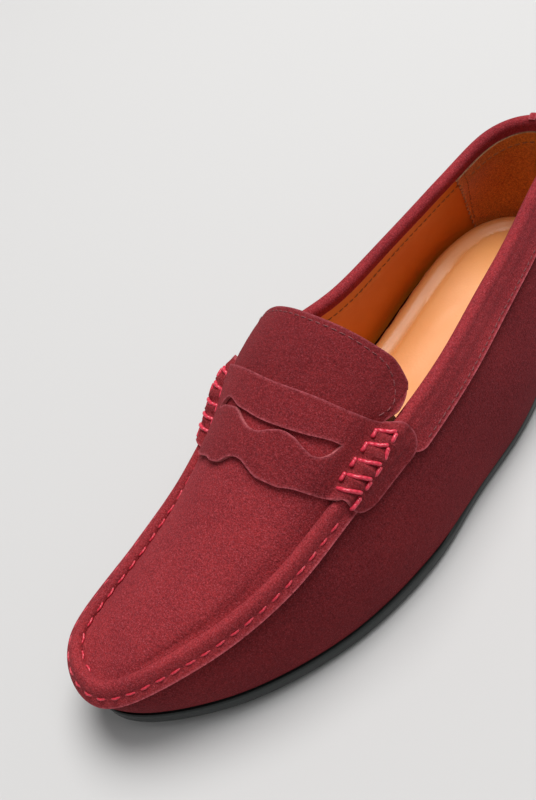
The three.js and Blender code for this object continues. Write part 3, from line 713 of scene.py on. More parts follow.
def makeSole():
    columns = np.linspace(0, 24, sole["rings"] + 1)
    base = sole["padDepth"]
    edge = [
        (3.4, lambda s: toeLift(s) + base), (1.5, lambda s: toeLift(s) + base + 0.1),
        (0.8, lambda s: toeLift(s) + base + 0.45), (0.4, lambda s: toeLift(s) + base + 1.1),
        (0.2, lambda s: toeLift(s) + base + 2.0), (0.0, lambda s: soleTop(s) - 1.9),
        (0.0, lambda s: soleTop(s) + welt(s, -0.2, -1.0)), (0.22, lambda s: soleTop(s) + welt(s, 0.42, -0.6)),
        (0.6, lambda s: soleTop(s) + welt(s, 0.7, -0.3)), (0.95, lambda s: soleTop(s) + welt(s, 0.5, -0.15)),
        (1.2, lambda s: soleTop(s) - 0.05), (3.2, lambda s: soleTop(s) - 0.02),
    ]
    sides = []
    for side in (columns, 48 - columns):
        u = columnU(side)
        sides.append(np.stack([soleLevel(u, inset, height) for inset, height in edge], axis=1))
    f = np.linspace(0, 1, 13)[1:-1][None, :, None]
    over = sides[0][:, -1:] * (1 - f) + sides[1][:, -1:] * f
    under = sides[1][:, :1] * (1 - f) + sides[0][:, :1] * f
    over[..., 2] = soleTop(fromHeel(over)) - 0.02
    under[..., 2] = toeLift(fromHeel(under)) + base
    ring = np.concatenate([sides[0], over, sides[1][:, ::-1], under, sides[0][:, :1]], axis=1)
    points, faces, kinds, _ = welded(ring.reshape(-1, 3), gridQuads(*ring.shape[:2]))
    piece = makePiece("rubberSole", points, faces, kinds, [rubber], sole["sharp"], ease=False)
    profile = [(last["heelY"] - s, z) for s, z in sole["arch"]]
    corners = [(x, y, z) for x in (-sole["halfWidth"], sole["halfWidth"]) for y, z in profile]
    n = len(profile)
    faces = [(k, (k + 1) % n, (k + 1) % n + n, k + n) for k in range(n)]
    faces += [tuple(range(n)), tuple(range(2 * n - 1, n - 1, -1))]
    tool = makePiece("archCutter", np.array(corners, float), faces, [0] * len(faces), [rubber], ease=False)
    cutter = piece.modifiers.new("arch", "BOOLEAN")
    cutter.operation = "DIFFERENCE"
    cutter.solver = "EXACT"
    cutter.object = tool
    solid = bpy.data.meshes.new_from_object(piece.evaluated_get(bpy.context.evaluated_depsgraph_get()))
    piece.modifiers.remove(cutter)
    piece.data = solid
    solid.name = "rubberSole"
    solid.shade_smooth()
    solid.set_sharp_from_angle(angle=math.radians(sole["sharp"]))
    bpy.data.objects.remove(tool)
    return piece


soleGround = makeSole()
finishPiece(soleGround, "root", "rubber", "outsole")


# geometry node helpers
def newTree(name, inputs):
    tree = bpy.data.node_groups.new(name, "GeometryNodeTree")
    tree.interface.new_socket("Geometry", in_out="INPUT", socket_type="NodeSocketGeometry")
    named = {}
    for label, kind, value in inputs:
        socket = tree.interface.new_socket(label, in_out="INPUT", socket_type=kind)
        if value is not None:
            socket.default_value = value
        named[label] = socket.identifier
    tree.interface.new_socket("Geometry", in_out="OUTPUT", socket_type="NodeSocketGeometry")
    return tree, tree.nodes.new("NodeGroupInput"), tree.nodes.new("NodeGroupOutput"), named


# The copies become real geometry with their material, and leave the tree.
def paintCopies(tree, copies, material, end):
    real = tree.nodes.new("GeometryNodeRealizeInstances")
    paint = tree.nodes.new("GeometryNodeSetMaterial")
    tree.links.new(copies.outputs[0], real.inputs[0])
    tree.links.new(real.outputs[0], paint.inputs["Geometry"])
    tree.links.new(material, paint.inputs["Material"])
    tree.links.new(paint.outputs[0], end.inputs[0])


def baked(piece, tree, named, values):
    modifier = piece.modifiers.new(tree.name, "NODES")
    modifier.node_group = tree
    for label, value in values.items():
        modifier[named[label]] = value
    held = bpy.context.evaluated_depsgraph_get()
    mesh = bpy.data.meshes.new_from_object(piece.evaluated_get(held))
    piece.modifiers.remove(modifier)
    piece.data = mesh
    mesh.name = piece.name
    mesh.shade_smooth()
    mesh.set_sharp_from_angle(angle=math.radians(50))
    return piece


def looseMesh(name, points, edges):
    mesh = bpy.data.meshes.new(name)
    mesh.from_pydata((points * mm).tolist(), edges, [])
    piece = bpy.data.objects.new(name, mesh)
    bpy.context.scene.collection.objects.link(piece)
    return piece


# tread: low six-sided pads under the forefoot and the heel
tread = {"pitch": 8.2, "radius": 3.5, "depth": 1.3, "margin": 6.5, "turn": 0.26, "bare": (76, 130)}


def makeTreadTree():
    tree, start, end, named = newTree("treadPads", [
        ("Radius", "NodeSocketFloat", 0.0035), ("Depth", "NodeSocketFloat", 0.0013),
        ("Turn", "NodeSocketFloat", 0.26), ("Rubber", "NodeSocketMaterial", None)])
    link = tree.links.new
    pad = tree.nodes.new("GeometryNodeMeshCone")
    pad.inputs["Vertices"].default_value = 6
    link(start.outputs["Radius"], pad.inputs["Radius Bottom"])
    link(mathNode(tree, "MULTIPLY", start.outputs["Radius"], 0.86), pad.inputs["Radius Top"])
    link(start.outputs["Depth"], pad.inputs["Depth"])
    turned = tree.nodes.new("ShaderNodeCombineXYZ")
    turned.inputs["X"].default_value = math.pi
    link(start.outputs["Turn"], turned.inputs["Z"])
    copies = tree.nodes.new("GeometryNodeInstanceOnPoints")
    link(start.outputs["Geometry"], copies.inputs["Points"])
    link(pad.outputs["Mesh"], copies.inputs["Instance"])
    link(turned.outputs[0], copies.inputs["Rotation"])
    paintCopies(tree, copies, start.outputs["Rubber"], end)
    return tree, named


def makeTread():
    u = np.linspace(0, 1, 240, endpoint=False)
    outline = (feather(u) - outward(u) * tread["margin"])[:, :2]
    places = []
    step = tread["pitch"]
    first, final = tread["bare"]
    for row in range(-20, 21):
        for col in range(-8, 9):
            x = (col + 0.5 * (row % 2)) * step
            y = row * step * 0.866
            s = last["heelY"] - y
            a, b = outline, np.roll(outline, -1, axis=0)
            crossing = (a[:, 1] > y) != (b[:, 1] > y)
            rise = np.where(b[:, 1] == a[:, 1], 1, b[:, 1] - a[:, 1])
            at = a[:, 0] + (y - a[:, 1]) * (b[:, 0] - a[:, 0]) / rise
            inside = np.count_nonzero(crossing & (x < at)) % 2 == 1
            if inside and not first - tread["radius"] < s < final + tread["radius"]:
                places.append((x, y, float(toeLift(s)) + tread["depth"]))
    piece = looseMesh("treadPads", np.array(places), [])
    tree, named = makeTreadTree()
    return baked(piece, tree, named, {"Radius": tread["radius"] * mm, "Depth": tread["depth"] * mm,
                                      "Turn": tread["turn"], "Rubber": rubber})


finishPiece(makeTread(), "root", "rubber")

# side wall
wallShape = {"columns": 420, "rows": 34, "collarTop": 5.5, "margin": 10}


def makeWall():
    k = np.clip(np.linspace(0, 48, wallShape["columns"] + 1), 0.02, 47.98)
    u = columnU(k)
    rear = smooth(np.abs(k - 24), 11.6, 12.2)
    top = 1 + (wallBelow(u, np.array([wallShape["collarTop"]]))[:, 0] - 1) * rear
    v = np.linspace(0, 1, wallShape["rows"] + 1)[None, :] * top[:, None]
    rows = wall(u, v)
    low, out = rows[:, 0], outward(u)
    margin = []
    for d in (wallShape["margin"], 5, 1.6):
        p = low - out * d
        p[:, 2] = soleTop(fromHeel(p)) + last["gap"] + last["suede"] / 2
        margin.append(p)
    grid = np.concatenate([np.stack(margin, axis=1), rows], axis=1)
    return leatherGrid("wallSuede", grid[:, ::-1], last["suede"], wallSet)


finishPiece(makeWall(), "root", "suede", "side_wall")

# apron with its rolled seam and raw lip
apron = {
    "lengths": np.array([6.3, 5.2, 4.0, 3.0, 2.0, 1.0]),
    "mores": np.array([0.75, 0.4, -0.05, -0.24, 0, 0.15]),
    "angles": np.linspace(0, 160, 9), "rows": 132, "rear": 11.5, "steps": 3,
}
roofKnots = np.array([1, 0.93, 0.85, 0.75, 0.62, 0.48, 0.32, 0.16, 0, -0.16, -0.32, -0.48,
                      -0.62, -0.75, -0.85, -0.93, -1])


apronRows = np.linspace(0, apron["rear"], apron["rows"])
apronSheet = refine(coverGrid(apronRows, 0, apron["lengths"], apron["mores"], apron["angles"], roofKnots),
                    apron["steps"])
apronPiece = leatherGrid("apronSuede", apronSheet, last["apronSuede"], suedeSet, folded=True)
finishPiece(apronPiece, "root", "suede", "apron")

# saddle: places on it are a chord and a share q across, 1 at the ridge, then down the wall
saddle = {
    "rows": 15, "lift": 1.55, "perShare": 14.0, "tab": 14.2, "tabCorner": 7.5,
    "rearEdge": [(-2, 12.1), (-1, 12.05), (-0.7, 11.35), (-0.43, 10.95), (0.09, 10.6), (0.41, 10.8),
                 (0.71, 11.2), (0.86, 11.55), (1.0, 12.0), (1.2, 12.15), (2, 12.1)],
    "slotEnds": (-0.56, 0.73), "slotTips": (9.75, 10.2),
    "slotRear": [(-0.56, 9.75), (-0.52, 9.88), (-0.2, 9.66), (0.04, 9.55), (0.41, 9.75), (0.68, 10.14),
                 (0.73, 10.2)],
    "slotFront": [(-0.56, 9.75), (-0.5, 9.76), (-0.36, 9.7), (-0.24, 9.62), (-0.15, 9.42), (-0.05, 9.27),
                  (0.07, 9.28), (0.16, 9.42), (0.25, 9.55), (0.36, 9.58), (0.5, 9.5), (0.6, 9.52),
                  (0.67, 9.7), (0.71, 9.95), (0.73, 10.2)],
    "frontEdge": [(-2, 9.2), (-1.3, 9.15), (-0.98, 8.95), (-0.75, 8.62), (-0.56, 8.42), (-0.42, 8.38),
                  (-0.3, 8.28), (-0.2, 8.3), (-0.08, 8.5), (0.03, 8.52), (0.14, 8.42), (0.26, 8.33),
                  (0.37, 8.36), (0.48, 8.42), (0.57, 8.55), (0.74, 8.76), (0.9, 9.02), (1.0, 9.2),
                  (1.3, 9.3), (2, 9.3)],
    "rungs": [11.55, 11.05, 10.5, 10.02, 9.6],
}


def curveThrough(knots, at):
    x, y = np.array(knots, float).T
    slopes = np.gradient(y, x)
    n = np.clip(np.searchsorted(x, at, side="right") - 1, 0, len(x) - 2)
    h = x[n + 1] - x[n]
    f = (np.clip(at, x[0], x[-1]) - x[n]) / h
    return (y[n] * (1 + 2 * f) * (1 - f) ** 2 + slopes[n] * h * f * (1 - f) ** 2
            + y[n + 1] * f * f * (3 - 2 * f) + slopes[n + 1] * h * f * f * (f - 1))


# A table of places on the saddle, filled once and read between its entries.
def saddleTable():
    chords = np.arange(7.8, 14.81, 0.1)
    lengths = np.array([19, 16, 14, 12.5, 10, 8, 6.5, 5.4, 4.4, 3.2, 2.0, 1.0])
    front = np.interp(lengths, [2, 4.2, 6.2, 9, 19], [saddle["lift"], saddle["lift"], 0.55, 0.02, 0.0])
    rear = np.interp(lengths, [2, 4.2, 13.5, 19], [saddle["lift"], saddle["lift"] + 0.2, 1.5, 1.2])
    onBand = smooth(chords, 11.3, 11.9)[:, None]
    mores = front + (rear - front) * onBand
    knots = roofKnots[np.abs(roofKnots) < 0.9]
    grid = coverGrid(chords, saddle["lift"], lengths, mores, np.linspace(0, 92, 7), knots)
    pure = roofOffset(chords[:, None], knots, saddle["lift"])
    grid[:, len(lengths) + 7: len(lengths) + 7 + len(knots)] = pure
    fine = refine(grid, 4)
    crest = (len(lengths) + 4) * 4
    steps = np.linalg.norm(np.diff(fine, axis=1), axis=2)
    along = np.concatenate([np.zeros((len(chords), 1)), np.cumsum(steps, axis=1)], axis=1)
    middle = fine.shape[1] // 2
    shares = np.linspace(-2.2, 2.2, 441)
    table = np.zeros((len(chords), len(shares), 3))
    for i in range(len(chords)):
        here = along[i, middle] - along[i]
        outer, inner = here[crest], -here[-1 - crest]
        beyond = (np.abs(shares) - 1) * saddle["perShare"]
        wanted = np.where(shares > 1, outer + beyond, np.where(shares < -1, -inner - beyond,
                                                               shares * np.where(shares > 0, outer, inner)))
        for axis in range(3):
            table[i, :, axis] = np.interp(-wanted, -here, fine[i, :, axis])
    return table


saddlePlaces = saddleTable()


def saddlePoint(chord, share):
    chord, share = np.broadcast_arrays(np.asarray(chord, float), np.asarray(share, float))
    a = np.clip((chord - 7.8) / 0.1, 0, saddlePlaces.shape[0] - 1.001)
    b = np.clip((share + 2.2) / 0.01, 0, saddlePlaces.shape[1] - 1.001)
    i, j = np.floor(a).astype(int), np.floor(b).astype(int)
    f, g = (a - i)[..., None], (b - j)[..., None]
    t = saddlePlaces
    return (t[i, j] * (1 - f) * (1 - g) + t[i + 1, j] * f * (1 - g)
            + t[i, j + 1] * (1 - f) * g + t[i + 1, j + 1] * f * g)


def saddleNormal(chord, share):
    along = saddlePoint(chord + 0.12, share) - saddlePoint(chord - 0.12, share)
    across = saddlePoint(chord, share + 0.015) - saddlePoint(chord, share - 0.015)
    return unit(np.cross(across, along))


# The thread pulls the saddle in at each rung, and it puffs out between them.
def saddlePuff(chord, share):
    over = smooth(np.abs(share), 0.84, 0.95) * (1 - smooth(np.abs(share), 1.22, 1.5))
    rungs = np.array(saddle["rungs"])
    near = np.exp(-((chord[..., None] - rungs) / 0.13) ** 2).sum(axis=-1)
    inside = smooth(chord, 9.3, 9.6) * (1 - smooth(chord, 11.6, 11.9))
    return over * inside * (1.05 - 1.5 * np.minimum(near, 1))


def makeSaddle():
    reach = 1 + saddle["tab"] / saddle["perShare"]
    share = np.concatenate([np.linspace(-reach, -0.8, 50)[:-1], np.linspace(-0.8, 0.8, 190),
                            np.linspace(0.8, reach, 50)[1:]])
    slotInner, slotOuter = saddle["slotEnds"]
    for end in saddle["slotEnds"]:
        share[np.argmin(np.abs(share - end))] = end
    rear = curveThrough(saddle["rearEdge"], share)
    front = curveThrough(saddle["frontEdge"], share)
    middle = (rear + front) / 2
    down = np.maximum(np.abs(share) - 1, 0) * saddle["perShare"]
    corner = saddle["tabCorner"]
    turn = np.clip((down - (saddle["tab"] - corner)) / corner, 0, 1)
    cutIn = corner * (1 - np.sqrt(np.maximum(1 - turn ** 2, 0))) / 9.6
    rear, front = rear - cutIn, front + cutIn
    slotRear = curveThrough(saddle["slotRear"], share)
    slotFront = curveThrough(saddle["slotFront"], share)
    closed = (share <= slotInner + 1e-6) | (share >= slotOuter - 1e-6)
    nearSlot = np.interp(share, [-0.9, slotInner, slotOuter, 0.9], [0, 1, 1, 0])
    fill = middle + nearSlot * (np.where(share < 0, *saddle["slotTips"]) - middle)
    slotRear, slotFront = np.where(closed, fill, slotRear), np.where(closed, fill, slotFront)
    rows = saddle["rows"]
    eased = (0.5 - 0.5 * np.cos(np.linspace(0, math.pi, rows)))[:, None]
    chords = np.concatenate([rear + (slotRear - rear) * eased, slotFront + (front - slotFront) * eased])
    shares = np.broadcast_to(share, chords.shape)
    normals = saddleNormal(chords, shares)
    points = saddlePoint(chords, shares) + normals * saddlePuff(chords, shares)[..., None]
    cols = len(share)
    quads = np.concatenate([gridQuads(rows, cols), gridQuads(rows, cols, rows * cols)])
    return leather("saddleSuede", points.reshape(-1, 3), normals.reshape(-1, 3), quads,
                   last["strapSuede"], saddleSet, angle=45)


finishPiece(makeSaddle(), "root", "suede", "saddle_strap")

# tongue: suede and its leather lining
tongue = {
    "under": 0.55, "drop": 1.42, "outer": 0.955, "inner": 0.97, "flare": 7.5,
    "end": [(-1, 14.1), (-0.7, 13.95), (-0.46, 13.75), (-0.2, 13.45), (0.1, 13.25), (0.45, 13.5),
            (0.7, 13.9), (1, 14.2)],
}


# along runs from under the saddle to the free end, across from the inner side, -1, to the outer, 1
def tonguePoint(along, across, depth):
    along, across, depth = np.broadcast_arrays(along, across, depth)
    outerHalf = across > 0
    corner = np.where(outerHalf, 0.15 * np.abs(across) ** 6, 0.03 * np.abs(across) ** 14)
    pinch = np.where(outerHalf, 0.085 * along ** 5, -0.03 * along ** 2)
    widest = np.where(outerHalf, tongue["outer"] - 0.055 * (1 - smooth(along, 0.1, 0.5)), tongue["inner"])
    share = across * widest * (1 - pinch)
    start = curveThrough(saddle["rearEdge"], share) - tongue["under"]
    chord = start + (curveThrough(tongue["end"], share) - start) * along * (1 - corner)
    rise = smooth(along, 0.1, 0.5) * smooth(np.abs(share), 0.72, 0.9)
    flare = tongue["flare"] * along ** 1.8 * np.maximum(-share, 0) ** 1.6
    offset = flare - tongue["drop"] * (1 - rise) + depth
    return saddlePoint(chord, share) + saddleNormal(chord, share) * offset[..., None]


def makeTongue(name, depth, thickness, materials, inset=0.0):
    along = np.linspace(0, 1 - inset, 56)[:, None]
    across = np.sin(np.linspace(1, -1, 120) * 1.35)[None, :] / math.sin(1.35) * (1 - inset * 0.6)
    return leatherGrid(name, tonguePoint(along, across, depth), thickness, materials)


tongueTop = makeTongue("tongueSuede", 0, last["apronSuede"], tongueSet)
tongueBack = makeTongue("tongueLining", -1.25, last["lining"], liningSet, 0.012)
print("made", tongueTop.name)

# collar: a band folded over a foam roll
collar = {"band": 13.5, "columns": 320, "from": 35.25, "to": 60.75, "angles": np.linspace(0, 180, 9)}


def collarU(k):
    return columnU(np.mod(k, 48))


def makeCollar():
    k = np.linspace(collar["from"], collar["to"], collar["columns"])
    u = collarU(k)
    fromEnd = np.minimum(k - collar["from"], collar["to"] - k)[:, None]
    full, wide = smooth(fromEnd, 0.3, 1.0), 0.5 + 0.5 * smooth(fromEnd, 0.1, 1.0)
    lengths = np.array([collar["band"], 12.4, 11, 9.4, 7.8, 6.2, 4.6, 3.2, 1.6])
    mores = np.array([0.4, 0.12, -0.04, -0.14, -0.1, 0.16, 0.42, 0.42, 0.3])
    outside = ridgeSide(u, 0.3 - 0.45 * (1 - full), lengths * wide, mores * full, collar["angles"])
    inside = rim(u, np.array([-2.05, -2.0]), np.array([-1.6, -3.0]))
    grid = refine(np.concatenate([outside, inside], axis=1), 3)
    return leatherGrid("collarSuede", grid[:, ::-1], last["apronSuede"], suedeSet)


finishPiece(makeCollar(), "root", "suede", "collar_band_lateral", "collar_band_medial")

# back stay
backStay = {"half": 0.3, "lift": 1.4, "over": 1.12, "thick": 0.8}


def makeBackStay():
    k = np.linspace(-backStay["half"], backStay["half"], 15)
    u = collarU(k + 48)
    v = np.linspace(0.05, 1, 12)[None, :] * wallBelow(u, np.array([collar["band"] + 3.0]))
    low = wallOffset(u, v, coverDepth + 0 * v)
    lengths = np.array([12.0, 10, 8, 6, 4.4, 2.8, 1.4])
    mores = backStay["over"] + np.array([0.06, 0, 0, 0.2, 0.42, 0.42, 0.34])
    high = ridgeSide(u, backStay["lift"], lengths, mores, np.linspace(0, 120, 8))
    grid = refine(np.concatenate([low, high], axis=1), 3)
    return leatherGrid("backStaySuede", grid[:, ::-1], backStay["thick"], suedeSet)


finishPiece(makeBackStay(), "root", "suede", "back_stay")

# linings
lining = {"top": 3.2, "heelEdge": 5.0, "tooth": 0.12, "lean": (-0.35, 0.022), "bottom": 4.5, "over": 1.0,
          "seam": 8.2, "depth": 1.8, "deeper": 1.2}


# The linings lie further inside the wall lower down.
def liningDepth(length):
    return lining["depth"] + lining["deeper"] * smooth(length, 3, 12)


def liningGrid(starts, ends, cols, rows, deeper):
    down = np.linspace(0, 1, rows)
    f = np.linspace(0, 1, cols)[:, None]
    k = starts[None, :] * (1 - f) + ends[None, :] * f
    u = collarU(k)
    whole = wallLength(u)
    length = lining["top"] + (whole - lining["bottom"] - lining["top"]) * down[None, :]
    return belowCrest(u, length, -liningDepth(length) - deeper)


def wallLength(u):
    flat = u.ravel()
    steps = np.linalg.norm(np.diff(wall(flat, np.linspace(0, 1, 41)), axis=1), axis=2)
    return steps.sum(axis=1).reshape(u.shape)


# The edges of the heel grip lean back towards the sole.
def gripLean(length):
    return lining["lean"][0] + lining["lean"][1] * (length - lining["top"])


def makeLining(name, start, end, cols, deeper, materials, teeth=(0, 0), leans=(0, 0)):
    rows = 56
    lean = gripLean(np.linspace(lining["top"], 60, rows))
    wave = np.abs(np.mod(np.arange(rows) / 2.0, 2) - 1) * lining["tooth"]
    edge = np.ones(rows)
    starts = start * edge + teeth[0] * wave + leans[0] * lean
    ends = end * edge + teeth[1] * wave + leans[1] * lean
    grid = liningGrid(starts, ends, cols, rows, deeper)
    return leatherGrid(name, grid[:, ::-1], last["lining"] * 0.8, materials)


gripSet = [heelSuede, tanEdge, tanEdge]
quarterSet = [tanLeather, tanEdge, tanEdge]
gripHalf = lining["heelEdge"]
lateralLining = makeLining("lateralLining", 48 + gripHalf - 0.3, 60.4, 60, 0, quarterSet, leans=(-1, 0))
finishPiece(lateralLining, "root", "tan_leather", "quarter_lining_lateral")
medialLining = makeLining("medialLining", 35.6, 48 - gripHalf + 0.3, 60, 0, quarterSet, leans=(0, 1))
finishPiece(medialLining, "root", "tan_leather", "quarter_lining_medial")
heelGrip = makeLining("heelGrip", 48 - gripHalf, 48 + gripHalf, 90, lining["over"], gripSet, (-1, 1), (1, -1))
finishPiece(heelGrip, "root", "heel_suede", "heel_lining")


def makeVampLining():
    rows = np.linspace(0.2, 12.3, 60)
    drop = -(last["apronSuede"] / 2 + last["gap"] + last["lining"] / 2 + 0.8)
    knots = np.linspace(0.92, -0.92, 21)
    outer, inner = chordEnds(rows)
    roofPart = roofOffset(bowed(rows[:, None], knots), knots, drop)
    sides = []
    for u in (outer, inner):
        length = np.linspace(1, 0, 9)[None, :]
        whole = wallLength(u)[:, None]
        sides.append(belowCrest(u[:, None], 6.5 + (whole * 0.9 - 6.5) * length, -3.0))
    grid = np.concatenate([sides[0], roofPart, sides[1][:, ::-1]], axis=1)
    return leatherGrid("vampLining", refine(grid, 2), last["lining"], [tanEdge, tanLeather, tanEdge])


finishPiece(makeVampLining(), "root", "tan_leather", "vamp_lining")

# footbed: a leather cover drawn over foam, proud at its edge with a pressed crease inside it
footbed = {"inset": 6.1, "rings": 150, "across": 64, "heelTop": 10.0, "thinner": 2.0, "roll": 1.5,
           "rollAt": 4.6, "crease": 0.8, "creaseAt": 10.2, "swell": 1.0, "frames": 16}


def footbedTop(s):
    return soleTop(s) + footbed["heelTop"] - footbed["thinner"] * smooth(s, 80, 170)


# How far points lie inside the footbed's outline.
def insideFootbed(flat):
    u = np.linspace(0, 1, 700, endpoint=False)
    outline = (feather(u) - outward(u) * footbed["inset"])[:, :2]
    return np.sqrt(np.min(((flat[:, None] - outline[None]) ** 2).sum(axis=-1), axis=1))


def makeFootbed():
    columns = np.linspace(0, 24, footbed["rings"] + 1)
    ends = []
    for side in (columns, 48 - columns):
        u = columnU(side)
        ends.append(feather(u) - outward(u) * footbed["inset"])
    f = np.linspace(0, 1, footbed["across"])[None, :]
    f = (0.5 - 0.5 * np.cos(np.pi * f))[..., None]
    grid = ends[0][:, None] * (1 - f) + ends[1][:, None] * f
    d = insideFootbed(grid[..., :2].reshape(-1, 2)).reshape(grid.shape[:2])
    s = fromHeel(grid)
    bead = footbed["roll"] * np.exp(-((d - footbed["rollAt"]) / 3.0) ** 2)
    crease = footbed["crease"] * np.exp(-((d - footbed["creaseAt"]) / 0.6) ** 2)
    fall = 4.0 * (1 - np.sqrt(np.clip(1 - (1 - np.minimum(d, 3.2) / 3.2) ** 2, 0, 1)))
    hollow = 0.9 * smooth(d, 11, 30) * (1 - smooth(s, 60, 110))
    grid[..., 2] = footbedTop(s) + bead - crease - fall - hollow
    piece = leatherGrid("sockCover", grid, last["lining"], [tanEdge, sockLeather, sockLeather], ease=False)
    swell(piece)
    return piece


# The cover is pinned at its rim and blown up a little, as leather drawn over foam.
def swell(piece):
    rest = np.empty(len(piece.data.vertices) * 3)
    piece.data.vertices.foreach_get("co", rest)
    rest = rest.reshape(-1, 3)
    held = piece.vertex_groups.new(name="held")
    for n, d in enumerate(insideFootbed(rest[:, :2] / mm)):
        pressed = np.exp(-((d - footbed["creaseAt"]) / 1.2) ** 2)
        held.add([n], float(np.clip(max(1 - d / 4.0, pressed), 0, 1)), "REPLACE")
    cloth = piece.modifiers.new("swell", "CLOTH")
    cloth.settings.vertex_group_mass = "held"
    cloth.settings.use_pressure = True
    cloth.settings.uniform_pressure_force = 3.0
    cloth.settings.tension_stiffness = 40
    cloth.settings.compression_stiffness = 40
    cloth.settings.bending_stiffness = 2.0
    cloth.settings.effector_weights.gravity = 0
    cloth.point_cache.frame_start = 1
    cloth.point_cache.frame_end = footbed["frames"]
    scene = bpy.context.scene
    for n in range(1, footbed["frames"] + 1):
        scene.frame_set(n)
    solved = piece.evaluated_get(bpy.context.evaluated_depsgraph_get()).data
    moved = np.empty(len(solved.vertices) * 3)
    solved.vertices.foreach_get("co", moved)
    step = moved.reshape(-1, 3) - rest
    size = np.linalg.norm(step, axis=1, keepdims=True)
    limit = footbed["swell"] * mm
    step *= np.minimum(1, limit / np.maximum(size, 1e-9))
    piece.modifiers.remove(cloth)
    piece.vertex_groups.remove(held)
    piece.data.vertices.foreach_set("co", (rest + step).ravel())
    piece.data.update()
    scene.frame_set(1)
    print("footbed cover swelled by up to %.2f mm" % (np.linalg.norm(step, axis=1).max() / mm))


footbedCover = makeFootbed()
finishPiece(footbedCover, "root", "tan_leather", "sock_liner")


